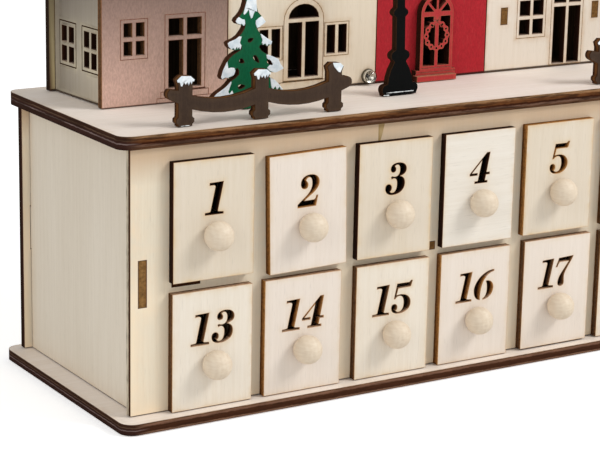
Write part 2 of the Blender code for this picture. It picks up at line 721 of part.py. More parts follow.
def door_layer(house):
    centre = house["centre"]
    low = STREET_FLOOR + GAP
    side = [(STEP_HALF, low), (STEP_HALF, STREET_FLOOR + STEP_HEIGHT),
            (DOOR_HALF, STREET_FLOOR + STEP_HEIGHT)]
    side += arc(0.0, STREET_FLOOR + DOOR_SPRING, DOOR_HALF, 0, 90, ARC_STEPS)
    side[-1] = (0.0, STREET_FLOOR + DOOR_SPRING + DOOR_HALF)
    rim = mirrored(side, centre)
    inner = DOOR_HALF - DOOR_BAND
    holes = []
    bars = 4
    hub = 1.9 * MM
    for ray in range(bars):
        first = 180 / bars * ray
        last = 180 / bars * (ray + 1)
        trim = math.degrees(0.45 * MM / inner)
        wide = math.degrees(0.45 * MM / hub)
        loop = [ray_point(centre, first + trim, inner),
                ray_point(centre, (first + last) / 2, inner),
                ray_point(centre, last - trim, inner),
                ray_point(centre, last - wide, hub), ray_point(centre, first + wide, hub)]
        if ray == 0:
            loop[0] = (loop[0][0], loop[0][1] + 0.35 * MM)
            loop[-1] = (loop[-1][0], loop[0][1])
        if ray == bars - 1:
            loop[2] = (loop[2][0], loop[2][1] + 0.35 * MM)
            loop[3] = (loop[3][0], loop[2][1])
        holes.append(loop)
    return rim, holes


red_house = HOUSES[2]
door_rim, door_holes = door_layer(red_house)
door_near = STREET_FRONT - GAP - PLY
door_far = STREET_FRONT - GAP
pane_top = STREET_FLOOR + DOOR_SPRING - 1.0 * MM
pane_low = STREET_FLOOR + DOOR_SILL
door_centre = red_house["centre"]
pane_reach = DOOR_HALF - DOOR_BAND
post_half = 0.75 * MM
ring_out = WREATH_RADIUS + WREATH_BEAD
ring_in = WREATH_RADIUS - WREATH_BEAD


def scalloped(points, inwards):
    """Ring of points drawn back between the beads of the wreath."""
    beaded = []
    for u, v in points:
        angle = math.atan2(v - ring_z, u)
        wave = 0.5 + 0.5 * math.cos(WREATH_BEADS * (angle + math.pi / 2))
        radius = math.hypot(u, v - ring_z)
        radius += (0.45 * WREATH_BEAD * (1 - wave)) * (1 if inwards else -1)
        beaded.append((radius * math.cos(angle), ring_z + radius * math.sin(angle)))
    return beaded


ring_z = STREET_FLOOR + WREATH_HEIGHT


def beside_wreath(side):
    """Pane outline left or right of the wreath, down to the sill."""
    top_angle = math.degrees(math.asin(1.7 * MM / ring_out))
    low_angle = math.degrees(math.asin(post_half / ring_out))
    ring = arc(0.0, ring_z, ring_out, 90 - top_angle, -90 + low_angle, 3 * ARC_STEPS)
    ring = scalloped(ring, False)
    ring = [(min(u, pane_reach), v) for u, v in ring]
    outline = ([(1.7 * MM, pane_top)] + ring + [(post_half, pane_low)]
               + [(pane_reach, pane_low), (pane_reach, pane_top)])
    return [(door_centre + side * u, v) for u, v in outline]


def inside_wreath(side):
    start = math.degrees(math.asin(post_half / ring_in))
    half_ring = arc(0.0, ring_z, ring_in, -90 + start, 90 - start, 3 * ARC_STEPS)
    half_ring = scalloped(half_ring, True)
    return [(door_centre + side * u, v) for u, v in half_ring]


for side in (-1, 1):
    door_holes.append(beside_wreath(side))
    door_holes.append(inside_wreath(side))
for bead in range(WREATH_BEADS):
    angle = -90 + 360 / WREATH_BEADS * bead
    if abs(angle - 90) > 20:
        u = door_centre + WREATH_RADIUS * math.cos(math.radians(angle))
        v = ring_z + WREATH_RADIUS * math.sin(math.radians(angle))
        door_holes.append(arc(u, v, BEAD_HOLE, 0, 300, 5))
tread_centre = door_centre - TREAD_LEFT_BY
tread = box_piece((tread_centre - STEP_HALF, door_near - PLY, STREET_FLOOR + GAP),
                  (tread_centre + STEP_HALF, door_near + GAP, STREET_FLOOR + TREAD_HEIGHT))
door_plate = sheet_piece([door_rim] + door_holes, door_near, door_far, "xz")
node("door_layer", fused(door_plate, [tread]), RED)


# Ranch fences: three posts, two sagging rails and a short arm at each end
def rail_edge(start, end, low_start, low_end, sag, steps):
    """Sagging edge between two posts; heights above the lid."""
    points = []
    for step in range(steps + 1):
        t = step / steps
        height = low_start + (low_end - low_start) * t - 4 * sag * t * (1 - t)
        points.append((start + (end - start) * t, STREET_FLOOR + height))
    return points


def fence_outline(start):
    first = start + 7.0 * MM
    posts = [first, first + FENCE_SPAN, first + 2 * FENCE_SPAN]
    foot = STREET_FLOOR + GAP
    lower = []
    upper = []
    arm_low = STREET_FLOOR + 9.4 * MM
    arm_high = STREET_FLOOR + 14.2 * MM
    cap = STREET_FLOOR + POST_HEIGHT
    lower += arc(start + 2.0 * MM, (arm_low + arm_high) / 2, 2.0 * MM, 120, 250, 5)
    lower.append((first - POST_HALF, STREET_FLOOR + 8.4 * MM))
    for place, middle in enumerate(posts):
        left = middle - POST_HALF
        right = middle + POST_HALF
        lower += [(left, foot + 3.3 * MM), (left - 0.8 * MM, foot + 2.6 * MM),
                  (left - 0.8 * MM, foot + 1.4 * MM), (left, foot + 0.7 * MM), (left, foot),
                  (right, foot), (right, foot + 0.7 * MM), (right + 0.8 * MM, foot + 1.4 * MM),
                  (right + 0.8 * MM, foot + 2.6 * MM), (right, foot + 3.3 * MM)]
        if place < 2:
            lower += rail_edge(right, posts[place + 1] - POST_HALF, 6.0 * MM, 5.6 * MM,
                               1.8 * MM, 6)
    for place, middle in reversed(list(enumerate(posts))):
        left = middle - POST_HALF
        right = middle + POST_HALF
        if place == 2:
            end = right + 4.4 * MM
            lower.append((right, STREET_FLOOR + 7.6 * MM))
            upper += arc(end - 2.0 * MM, STREET_FLOOR + 10.6 * MM, 2.0 * MM, -70, 110, 6)
        upper += [(right, STREET_FLOOR + 13.4 * MM), (right, cap - 3.4 * MM),
                  (right + 0.7 * MM, cap - 1.6 * MM), (right - 0.8 * MM, cap - 0.3 * MM),
                  (left + 1.0 * MM, cap), (left - 0.7 * MM, cap - 1.4 * MM),
                  (left, cap - 3.4 * MM)]
        if place > 0:
            upper += rail_edge(left, posts[place - 1] + POST_HALF, 11.3 * MM, 10.8 * MM,
                               2.0 * MM, 6)
    upper.append((posts[0] - POST_HALF, STREET_FLOOR + 13.0 * MM))
    return lower + upper


for index, start in enumerate(FENCE_STARTS):
    node("fence_%d" % (index + 1),
         sheet_piece([fence_outline(start)], FENCE_FRONT, FENCE_FRONT + PLY, "xz"), BARK)


# Fir trees: an uneven cut outline of drooping branches, the second tree turned round.
# Points run from the foot up the left side and down the right: millimetres beside the
# trunk's middle and above the lid. The trunk's foot is drawn in by the seating gap.
TREE_RIM = [
    (-2.3, 0.3), (-2.3, 3.2), (-6.6, 2.9), (-10.6, 3.2), (-14.6, 4.2), (-15.0, 5.0),
    (-14.3, 6.0), (-13.2, 6.9), (-11.8, 7.7), (-10.0, 8.7), (-8.9, 9.6), (-7.3, 11.1),
    (-5.6, 12.0), (-4.3, 13.1), (-4.3, 14.5), (-4.9, 15.4), (-5.6, 15.2), (-5.9, 14.2),
    (-6.6, 12.9), (-7.9, 12.1), (-9.6, 12.2), (-11.1, 11.7), (-11.6, 12.6), (-11.0, 14.8),
    (-10.1, 16.5), (-9.3, 17.9), (-8.3, 19.2), (-6.7, 20.4), (-4.9, 21.3), (-3.4, 22.1),
    (-3.2, 23.0), (-3.9, 22.1), (-4.9, 21.9), (-6.3, 21.9), (-7.7, 22.4), (-8.7, 23.4),
    (-9.1, 24.6), (-8.4, 25.1), (-6.1, 25.8), (-4.4, 26.8), (-3.3, 28.0), (-2.2, 29.6),
    (-1.9, 30.9), (-2.7, 30.5), (-3.8, 30.8), (-5.1, 31.2), (-5.9, 32.2), (-5.5, 33.1),
    (-4.5, 33.9), (-3.3, 35.2), (-2.4, 36.9), (-1.8, 39.0), (-2.4, 40.4), (-3.4, 41.6),
    (-4.0, 42.6), (-3.2, 43.6), (-1.9, 45.6), (-1.0, 48.6), (-0.3, 53.0), (0.3, 53.0),
    (0.9, 49.0), (1.9, 46.0), (3.3, 43.9), (4.3, 42.8), (3.7, 41.6), (2.7, 40.6),
    (2.4, 39.0), (2.8, 36.6), (3.3, 35.0), (5.0, 33.2), (6.4, 31.4), (5.6, 30.7),
    (3.9, 29.7), (2.8, 29.3), (4.1, 27.5), (5.6, 26.4), (7.4, 25.2), (9.2, 24.1),
    (8.8, 23.0), (7.5, 22.4), (5.7, 23.1), (4.3, 23.1), (4.0, 22.3), (4.9, 21.1),
    (6.3, 20.1), (7.6, 19.4), (9.6, 18.6), (12.0, 17.5), (12.8, 15.7), (14.2, 13.9),
    (12.7, 13.2), (10.9, 12.6), (8.8, 12.9), (5.8, 14.1), (3.0, 14.6), (1.7, 13.8),
    (1.6, 11.6), (2.0, 8.4), (2.7, 8.2), (2.9, 10.6), (4.4, 12.3), (6.6, 12.0),
    (8.7, 11.0), (10.7, 9.9), (12.9, 7.7), (14.8, 5.2), (14.2, 4.2), (10.2, 3.2),
    (6.4, 2.9), (2.3, 3.2), (2.3, 0.3),
]
# Pierced places: middle, half length, half width, turn in degrees
TREE_HOLES = ((0.3, 25.2, 1.2, 0.7, 20.0), (-3.2, 17.8, 1.1, 0.8, -30.0),
              (2.8, 18.1, 1.8, 0.7, -50.0), (8.5, 16.4, 1.5, 0.7, -42.0),
              (-3.2, 8.6, 1.5, 0.8, 5.0))


def tree_outline(centre, way):
    rim = [(centre + way * u * MM, STREET_FLOOR + v * MM) for u, v in TREE_RIM]
    return rim if way > 0 else rim[::-1]


def tree_hole(centre, way, u, v, length, width, turn):
    """Drop-shaped hole, pointed at one end."""
    slant = math.radians(turn)
    points = []
    for step in range(8):
        angle = 2 * math.pi * step / 8
        along = length * math.cos(angle)
        across = width * math.sin(angle) * (1.0 - 0.45 * math.cos(angle))
        points.append((centre + way * (u + along * math.cos(slant)
                                       - across * math.sin(slant)) * MM,
                       STREET_FLOOR + (v + along * math.sin(slant)
                                       + across * math.cos(slant)) * MM))
    return points


for index, centre in enumerate(TREE_CENTRES):
    way = 1 if index == 0 else -1
    holes = [tree_hole(centre, way, *hole) for hole in TREE_HOLES]
    node("tree_%d" % (index + 1),
         sheet_piece([tree_outline(centre, way)] + holes, TREE_FRONT, TREE_FRONT + PLY, "xz"),
         GREEN)


# Lamp posts: a turned silhouette with a lantern
def lamp_outline(centre):
    base = STREET_FLOOR
    side = [(7.2 * MM, base + GAP)]
    side += arc(5.9 * MM, base + 2.6 * MM, 2.05 * MM, -35, 100, 6)
    side += [(5.4 * MM, base + 5.2 * MM), (5.1 * MM, base + 7.2 * MM),
             (4.0 * MM, base + 10.2 * MM), (2.5 * MM, base + 12.8 * MM)]
    side += arc(2.35 * MM, base + 15.2 * MM, 1.75 * MM, -70, 70, 5)
    side += [(1.95 * MM, base + 17.4 * MM), (1.95 * MM, base + 29.6 * MM)]
    side += arc(1.95 * MM, base + 31.3 * MM, 1.3 * MM, -65, 65, 5)
    side += [(1.75 * MM, base + 33.2 * MM), (1.6 * MM, base + 43.0 * MM),
             (3.0 * MM, base + 44.4 * MM), (3.0 * MM, base + 45.6 * MM),
             (4.9 * MM, base + 56.0 * MM), (5.9 * MM, base + 56.4 * MM),
             (5.9 * MM, base + 57.6 * MM), (2.4 * MM, base + 61.4 * MM),
             (1.0 * MM, base + 62.2 * MM), (1.2 * MM, base + 63.6 * MM),
             (0.0, base + 65.0 * MM)]
    return mirrored(side, centre)


def lantern_panes(centre):
    low = STREET_FLOOR + 47.0 * MM
    high = STREET_FLOOR + 55.2 * MM
    panes = []
    for side in (-1, 1):
        panes.append([(centre + side * 0.5 * MM, low), (centre + side * 2.1 * MM, low),
                      (centre + side * 3.5 * MM, high), (centre + side * 0.5 * MM, high)])
    return panes


for index, centre in enumerate(LAMP_CENTRES):
    lean = math.radians(LAMP_LEAN) if index == 0 else 0.0
    post = sheet_piece([lamp_outline(centre)] + lantern_panes(centre),
                       LAMP_FRONT, LAMP_FRONT + PLY, "xz")
    post = moved(post, (0.0, 0.0, 0.0), lean, (centre, 0.0, STREET_FLOOR + GAP))
    node("lamp_post_%d" % (index + 1), post, BLACK)


# Clear lamp of the street lighting, pushed through the second house's front
led_profile = [(0.0, -4.2 * MM)]
for step in range(1, 6):
    angle = math.radians(90 * step / 5)
    led_profile.append((LED_RADIUS * math.sin(angle),
                        (-1.7 - 2.5 * math.cos(angle)) * MM))
led_profile += [(LED_RADIUS, 3.3 * MM), (LED_RIM, 3.3 * MM), (LED_RIM, 4.3 * MM),
                (0.0, 4.3 * MM)]
led = turned_piece(led_profile, KNOB_STEPS)
led = moved(led, (LED_X, STREET_FRONT, STREET_FLOOR + LED_Z + GAP))
node("led_light", led, CLEAR, roughness=0.05, clear=True)

print("nodes:", len(calendar.objects))
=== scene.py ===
# %% [markdown]
# # A laser-cut advent calendar with a village on its lid
# The real thing is cut from 3 mm plywood: a long case with two rows of twelve numbered
# drawers, and on its lid a street of houses with fences, fir trees and lamp posts. The
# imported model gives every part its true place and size. This lesson dresses those parts:
# it cuts the numbers through the drawer fronts, engraves the window frames, and gives
# the wood its grain, its scorched edges, its paint and its snow.

# %% Load the frame
import math

import bmesh
import bpy
from mathutils import Matrix, Vector
from mathutils.geometry import delaunay_2d_cdt
from mathutils.kdtree import KDTree


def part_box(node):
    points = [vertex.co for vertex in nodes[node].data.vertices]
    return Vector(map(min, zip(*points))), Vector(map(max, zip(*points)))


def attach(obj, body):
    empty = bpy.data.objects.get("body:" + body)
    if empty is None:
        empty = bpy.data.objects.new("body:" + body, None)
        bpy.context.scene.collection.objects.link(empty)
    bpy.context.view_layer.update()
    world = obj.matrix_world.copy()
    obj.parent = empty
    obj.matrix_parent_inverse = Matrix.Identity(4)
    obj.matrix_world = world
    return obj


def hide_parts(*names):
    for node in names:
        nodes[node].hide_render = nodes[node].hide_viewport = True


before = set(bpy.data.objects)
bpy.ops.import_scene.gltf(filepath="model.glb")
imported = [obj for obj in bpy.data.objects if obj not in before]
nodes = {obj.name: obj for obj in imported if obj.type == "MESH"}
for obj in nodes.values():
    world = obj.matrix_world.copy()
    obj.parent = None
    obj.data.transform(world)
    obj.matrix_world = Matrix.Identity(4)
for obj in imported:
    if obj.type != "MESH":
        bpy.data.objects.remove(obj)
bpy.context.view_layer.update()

MM = 0.001

# %% [markdown]
# ## Where things stand
# The street, the lid and the drawers are measured from three planes: the case's left
# end, the outer face of its front panel and the top of its lid. Reading them from the
# parts themselves keeps this lesson and the model together.

# %% Reference planes
CASE_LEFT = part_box("front_panel")[0][0]
CASE_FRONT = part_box("front_panel")[0][1]
LID_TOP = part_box("top_plate")[1][2]
BASE_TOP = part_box("base_plate")[1][2]
PLY = 3.0 * MM


def street(u, v):
    """Point above the lid, from millimetres right of the case's end and above the lid."""
    return (CASE_LEFT + u * MM, LID_TOP + v * MM)


print("case starts at", round(CASE_LEFT, 4), "its face is at", round(CASE_FRONT, 4),
      "and the lid's top at", round(LID_TOP, 4))

# %% [markdown]
# ## Shader helpers
# Every finish is a small node tree on Object coordinates. Pictures of wood would need
# unwrapped pieces and blur close up; nodes stay sharp and need no files. These first
# helpers start a material, read a number stored on a piece's points and do sums.

# %% Numbers in node trees
def new_finish(name, roughness=0.6, gloss=0.3):
    material = bpy.data.materials.new(name)
    material.use_nodes = True
    tree = material.node_tree
    shader = tree.nodes["Principled BSDF"]
    shader.inputs["Roughness"].default_value = roughness
    shader.inputs["Specular IOR Level"].default_value = gloss
    return material, tree, shader


def value_of(tree, attribute):
    """A number stored on the piece's points."""
    reader = tree.nodes.new("ShaderNodeAttribute")
    reader.attribute_name = attribute
    return reader.outputs["Fac"]


def calc(tree, operation, first, second=None, clamp=False):
    node = tree.nodes.new("ShaderNodeMath")
    node.operation = operation
    node.use_clamp = clamp
    for socket, entry in zip(node.inputs, (first, second)):
        if entry is None:
            continue
        if isinstance(entry, (int, float)):
            socket.default_value = entry
        else:
            tree.links.new(entry, socket)
    return node.outputs[0]


def times(tree, first, second, clamp=False):
    return calc(tree, "MULTIPLY", first, second, clamp)


def between(tree, factor, low, high):
    """Factor rescaled so that low gives 0 and high gives 1."""
    node = tree.nodes.new("ShaderNodeMapRange")
    node.inputs["From Min"].default_value = low
    node.inputs["From Max"].default_value = high
    tree.links.new(factor, node.inputs["Value"])
    return node.outputs["Result"]


def height_between(tree, low, high, along="Z"):
    """0 at the height low, 1 at high, both in metres; or along another axis."""
    where = tree.nodes.new("ShaderNodeTexCoord")
    split = tree.nodes.new("ShaderNodeSeparateXYZ")
    tree.links.new(where.outputs["Object"], split.inputs["Vector"])
    return between(tree, split.outputs[along], low, high)


def relief(tree, shader, height, strength, depth):
    bump = tree.nodes.new("ShaderNodeBump")
    bump.inputs["Strength"].default_value = strength
    bump.inputs["Distance"].default_value = depth
    tree.links.new(height, bump.inputs["Height"])
    tree.links.new(bump.outputs["Normal"], shader.inputs["Normal"])


print("number helpers ready")

# %% [markdown]
# ## Noise and colour
# A long thin noise makes wood grain, so one helper stretches the coordinates along the
# fibres. The value named shade differs from piece to piece and slides the noise, so two
# boards cut from the same sheet never show the same grain. Ramps turn noise into colour.

# %% Noise and colour helpers
SHADE_SHIFT = 37.0


def noise(tree, stretch, detail=3.0, roughness=0.55, distortion=0.0):
    """Noise with so many cells per metre along X, Y and Z, shifted by the piece's shade."""
    if isinstance(stretch, int):
        stretch = (stretch, stretch, stretch)
    where = tree.nodes.new("ShaderNodeTexCoord")
    mapping = tree.nodes.new("ShaderNodeMapping")
    mapping.inputs["Scale"].default_value = stretch
    texture = tree.nodes.new("ShaderNodeTexNoise")
    texture.noise_dimensions = "4D"
    texture.inputs["Scale"].default_value = 1.0
    texture.inputs["Detail"].default_value = detail
    texture.inputs["Roughness"].default_value = roughness
    texture.inputs["Distortion"].default_value = distortion
    tree.links.new(where.outputs["Object"], mapping.inputs["Vector"])
    tree.links.new(mapping.outputs["Vector"], texture.inputs["Vector"])
    tree.links.new(times(tree, value_of(tree, "shade"), SHADE_SHIFT), texture.inputs["W"])
    return texture.outputs["Fac"]


def ramp(tree, factor, stops):
    """Colour ramp; stops are (position, colour)."""
    node = tree.nodes.new("ShaderNodeValToRGB")
    elements = node.color_ramp.elements
    while len(elements) < len(stops):
        elements.new(0.5)
    for element, (position, colour) in zip(elements, stops):
        element.position = position
        element.color = (*colour, 1.0)
    tree.links.new(factor, node.inputs["Fac"])
    return node.outputs["Color"]


def mix(tree, factor, first, second):
    """Colours mixed by a factor; each colour is a socket or three numbers."""
    node = tree.nodes.new("ShaderNodeMix")
    node.data_type = "RGBA"
    for socket, entry in zip((node.inputs[0], node.inputs[6], node.inputs[7]),
                             (factor, first, second)):
        if isinstance(entry, (int, float)):
            socket.default_value = entry
        elif isinstance(entry, tuple):
            socket.default_value = (*entry, 1.0)
        else:
            tree.links.new(entry, socket)
    return node.outputs[2]


def dimmed(colour, share):
    return tuple(share * part for part in colour)


def speckled(name, roughness, stretch, stops, detail=2.0, grit=0.55, gloss=0.3, bump=None,
             inputs=None):
    """Plain finish whose colour comes from one noise."""
    material, tree, shader = new_finish(name, roughness, gloss)
    grain = noise(tree, stretch, detail, grit)
    tree.links.new(ramp(tree, grain, stops), shader.inputs["Base Color"])
    if bump:
        relief(tree, shader, grain, *bump)
    for socket, value in (inputs or {}).items():
        shader.inputs[socket].default_value = value
    return material


print("colour helpers ready")

# %% [markdown]
# ## Veneer, bare and painted
# The sheet's face is a pale veneer with fine straight fibres, a broader flow of lighter
# and darker wood, and short pores. The laser leaves a warm smoke stain beside each cut,
# stored on the points as halo, and a scorched rim right at the edge, stored as burn.
# Paint is thin enough to let the pores through, so the painted faces use the same tree
# with a colour laid over it. Bands along one axis lay painted shade over some faces, and
# painted warm light over the front panel.

# %% Veneer finish
FIBRES = {"X": (30, 900, 900), "Y": (900, 30, 900), "Z": (900, 900, 30)}
PORES = {"X": (220, 2600, 2600), "Y": (2600, 220, 2600), "Z": (2600, 2600, 220)}
FLOW = {"X": (7, 55, 55), "Y": (55, 7, 55), "Z": (55, 55, 7)}
TAN = (0.52, 0.31, 0.13)
CHAR = (0.075, 0.026, 0.01)
SHADE_TINT = (0.05, 0.034, 0.026)
GAP_SHADOW = (0.02, 0.01, 0.006)


def eaves(low, high, strength, tint=SHADE_TINT):
    """Band of painted shade that grows from low to high, in millimetres above the lid's
    top.
    """
    return "Z", LID_TOP + low * MM, LID_TOP + high * MM, strength, tint, False


def foot(height):
    """Painted shadow line at the foot of a wall, where it meets the lid, so many
    millimetres high.
    """
    return eaves(height, height - 0.35, 0.95, GAP_SHADOW)


def veneer(name, pale, deep, grain="Z", paint=None, cover=0.0, stain=0.55, rim=CHAR,
           roughness=0.62, gloss=0.25, halo_tint=TAN, bands=()):
    material, tree, shader = new_finish(name, roughness, gloss)
    fibres = noise(tree, FIBRES[grain], 3.0, 0.6)
    flow = noise(tree, FLOW[grain], 2.0, 0.5, 0.6)
    pores = noise(tree, PORES[grain], 1.0, 0.4)
    figure = calc(tree, "ADD", times(tree, fibres, 0.55), times(tree, flow, 0.45))
    colour = ramp(tree, figure, [(0.36, deep), (0.62, pale)])
    dark_pores = between(tree, pores, 0.62, 0.74)
    colour = mix(tree, times(tree, dark_pores, 0.2), colour, dimmed(deep, 0.62))
    if paint:
        speckle = between(tree, noise(tree, (1900, 1900, 800), 2.0, 0.7), 0.36, 0.64)
        coat = mix(tree, speckle, dimmed(paint, 0.84), dimmed(paint, 1.09))
        thin = calc(tree, "SUBTRACT", cover, times(tree, dark_pores, 0.05))
        colour = mix(tree, thin, colour, coat)
    halo_share = times(tree, value_of(tree, "halo"),
                  between(tree, noise(tree, 260, 2.0), 0.25, 0.7))
    colour = mix(tree, times(tree, halo_share, stain, clamp=True), colour, halo_tint)
    # Bands along one axis paint shade over the wood, and on the front panel warm light;
    # some are kept to the halo beside the cuts.
    for along, low, high, strength, tint, near_cuts in bands:
        share = times(tree, height_between(tree, low, high, along), strength)
        if near_cuts:
            share = times(tree, share, value_of(tree, "halo"))
        colour = mix(tree, share, colour, tint)
    scorch = between(tree, value_of(tree, "burn"), 0.15, 0.95)
    colour = mix(tree, scorch, colour, rim)
    tree.links.new(colour, shader.inputs["Base Color"])
    relief(tree, shader, figure, 0.25, 0.00018)
    return material


print("veneer finish ready")

# %% [markdown]
# ## Cut edges
# A laser chars the edge of plywood. The glue lines burn almost black, the outer plies
# stay a toasted brown and the middle ply greys. The value named ply runs from 0 at the
# front face to 1 at the back, and a colour ramp on it draws the layers.

# %% Cut edge finish
PLATE_STREAK = (160, 160, 2600)


def cut_edge(name, layers, streak=1400, patches=0.0, left_end=None):
    material, tree, shader = new_finish(name, 0.8, 0.03)
    wander = times(tree, noise(tree, 500, 2.0), 0.16)
    depth = calc(tree, "ADD", value_of(tree, "ply"), calc(tree, "SUBTRACT", wander, 0.08))
    colour = ramp(tree, depth, layers)
    if left_end:
        low, high, end_layers = left_end
        colour = mix(tree, height_between(tree, low, high, "X"), colour,
                     ramp(tree, depth, end_layers))
    soot = between(tree, noise(tree, streak, 3.0, 0.65), 0.42, 0.72)
    colour = mix(tree, times(tree, soot, 0.65), colour, (0.02, 0.009, 0.005))
    if patches:
        burnt = between(tree, noise(tree, (45, 45, 700), 3.0, 0.6), 0.52, 0.58)
        colour = mix(tree, times(tree, burnt, patches), colour, (0.022, 0.009, 0.005))
    tree.links.new(colour, shader.inputs["Base Color"])
    relief(tree, shader, soot, 0.4, 0.0002)
    return material


TOASTED = cut_edge("edge_toasted", [
    (0.0, (0.3, 0.15, 0.06)), (0.28, (0.17, 0.075, 0.028)),
    (0.34, (0.03, 0.012, 0.006)), (0.4, (0.15, 0.08, 0.04)),
    (0.62, (0.13, 0.066, 0.032)), (0.68, (0.03, 0.012, 0.006)),
    (0.76, (0.16, 0.072, 0.028)), (1.0, (0.2, 0.095, 0.038))])
CHARRED = cut_edge("edge_charred", [
    (0.0, (0.09, 0.03, 0.011)), (0.22, (0.026, 0.009, 0.005)),
    (0.6, (0.018, 0.007, 0.004)), (1.0, (0.024, 0.009, 0.005))])
PLATE_LEFT = (CASE_LEFT + 4 * MM, CASE_LEFT - 2 * MM, [
    (0.0, (0.15, 0.085, 0.045)), (0.06, (0.05, 0.02, 0.011)),
    (0.24, (0.036, 0.014, 0.008)), (0.3, (0.13, 0.076, 0.045)),
    (0.38, (0.045, 0.018, 0.012)), (0.5, (0.04, 0.015, 0.011)),
    (0.57, (0.23, 0.165, 0.15)), (0.64, (0.045, 0.018, 0.013)),
    (1.0, (0.03, 0.012, 0.009))])
LID_EDGE = cut_edge("edge_lid", [
    (0.0, (0.4, 0.244, 0.126)), (0.05, (0.237, 0.122, 0.053)),
    (0.12, (0.37, 0.207, 0.104)), (0.2, (0.266, 0.13, 0.056)),
    (0.27, (0.141, 0.053, 0.018)), (0.45, (0.133, 0.047, 0.015)),
    (0.54, (0.041, 0.01, 0.003)), (0.62, (0.041, 0.011, 0.004)),
    (0.7, (0.163, 0.087, 0.058)), (0.78, (0.155, 0.083, 0.052)),
    (0.86, (0.081, 0.036, 0.018)), (1.0, (0.111, 0.053, 0.025))],
    PLATE_STREAK, patches=0.7, left_end=PLATE_LEFT)
BASE_EDGE = cut_edge("edge_base", [
    (0.0, (0.454, 0.277, 0.16)), (0.06, (0.084, 0.03, 0.011)),
    (0.13, (0.218, 0.113, 0.071)), (0.26, (0.202, 0.101, 0.062)),
    (0.36, (0.06, 0.022, 0.01)), (0.78, (0.052, 0.018, 0.008)),
    (0.86, (0.227, 0.122, 0.076)), (1.0, (0.134, 0.067, 0.037))],
    PLATE_STREAK, left_end=PLATE_LEFT)
ENGRAVED = cut_edge("engraved_line", [
    (0.0, (0.62, 0.41, 0.21)), (1.0, (0.5, 0.3, 0.14))])
print("edge finishes:", TOASTED.name, CHARRED.name, LID_EDGE.name, BASE_EDGE.name)

# %% [markdown]
# ## Sheet pieces
# Nearly everything here is a flat shape cut from sheet, so one routine finishes them all.
# It insets a narrow rim that carries the scorch, then fills the flat areas afresh with
# triangles over a light grid of points, which lets the smoke stain fade across them. A
# subdivided face would do as well, but it would need many more triangles at each notch.
# These first helpers find the flat areas and tell whether a point lies inside one.

# %% Flat areas and their outlines
AXES = {"X": 0, "Y": 1, "Z": 2}


def islands_of(faces):
    """Faces in connected groups."""
    waiting = set(faces)
    islands = []
    while waiting:
        search = [waiting.pop()]
        islands.append(set(search))
        while search:
            for edge in search.pop().edges:
                for other in edge.link_faces:
                    if other in waiting:
                        waiting.discard(other)
                        islands[-1].add(other)
                        search.append(other)
    return islands


def rows_of(spots, edges, pitch):
    """Edges sorted into level rows, for the inside test below."""
    rows = {}
    for first, last in edges:
        a, b = spots[first], spots[last]
        for row in range(int(min(a.y, b.y) // pitch), int(max(a.y, b.y) // pitch) + 1):
            rows.setdefault(row, []).append((a.x, a.y, b.x, b.y))
    return rows


def inside(x, y, rows, pitch):
    """Even-odd test of a point against the outlines."""
    odd = False
    for ax, ay, bx, by in rows.get(int(y // pitch), ()):
        if (ay > y) != (by > y) and x < ax + (y - ay) * (bx - ax) / (by - ay):
            odd = not odd
    return odd


print("outline helpers ready")

# %% [markdown]
# ## Filling a flat area
# The constrained Delaunay routine joins outline and grid points to well shaped triangles
# and keeps every cut line. Triangles outside the even-odd outline are holes and stay open.

# %% Refill flat areas
def refilled(bm, faces, way, pitch):
    """Flat areas filled afresh inside their moved outlines, with a grid of points."""
    across, upward = [number for number in range(3) if number != way]
    fresh = []
    for island in islands_of(faces):
        side = 1 if sum(face.normal[way] * face.calc_area() for face in island) > 0 else -1
        outline = {edge for face in island for edge in face.edges
                   if sum(other in island for other in edge.link_faces) == 1}
        bmesh.ops.delete(bm, geom=list(island), context="FACES_KEEP_BOUNDARY")
        outline = [edge for edge in outline if edge.is_valid]
        corners = list({vert for edge in outline for vert in edge.verts})
        order = {vert: place for place, vert in enumerate(corners)}
        level = corners[0].co[way]
        spots = [Vector((vert.co[across], vert.co[upward])) for vert in corners]
        edges = [(order[edge.verts[0]], order[edge.verts[1]]) for edge in outline]
        rows = rows_of(spots, edges, pitch)
        x_low, x_high = min(s.x for s in spots), max(s.x for s in spots)
        y_low, y_high = min(s.y for s in spots), max(s.y for s in spots)
        for column in range(int((x_high - x_low) / pitch) + 1):
            for row in range(int((y_high - y_low) / pitch) + 1):
                x, y = x_low + (column + 0.63) * pitch, y_low + (row + 0.63) * pitch
                if inside(x, y, rows, pitch):
                    spots.append(Vector((x, y)))
        coords, _, triangles, origins, _, _ = delaunay_2d_cdt(spots, edges, [], 0, 1e-7)
        verts = []
        for spot, origin in zip(coords, origins):
            known = [number for number in origin if number < len(corners)]
            if known:
                verts.append(corners[known[0]])
                continue
            place = Vector((0, 0, 0))
            place[way], place[across], place[upward] = level, spot.x, spot.y
            verts.append(bm.verts.new(place))
        for triangle in triangles:
            x = sum(coords[corner].x for corner in triangle) / 3
            y = sum(coords[corner].y for corner in triangle) / 3
            trio = [verts[corner] for corner in triangle]
            if inside(x, y, rows, pitch) and len(set(trio)) == 3 and not bm.faces.get(trio):
                face = bm.faces.new(trio)
                face.normal_update()
                if face.normal[way] * side < 0:
                    face.normal_flip()
                fresh.append(face)
        bmesh.ops.delete(bm, geom=[v for v in verts if not v.link_faces], context="VERTS")
    return fresh


print("refill ready")

# %% [markdown]
# ## One finished sheet piece
# The broad faces are told from the cut edges by their normals. Four numbers are stored on
# the points: burn on the rim, halo near a cut, ply through the sheet's thickness and shade.

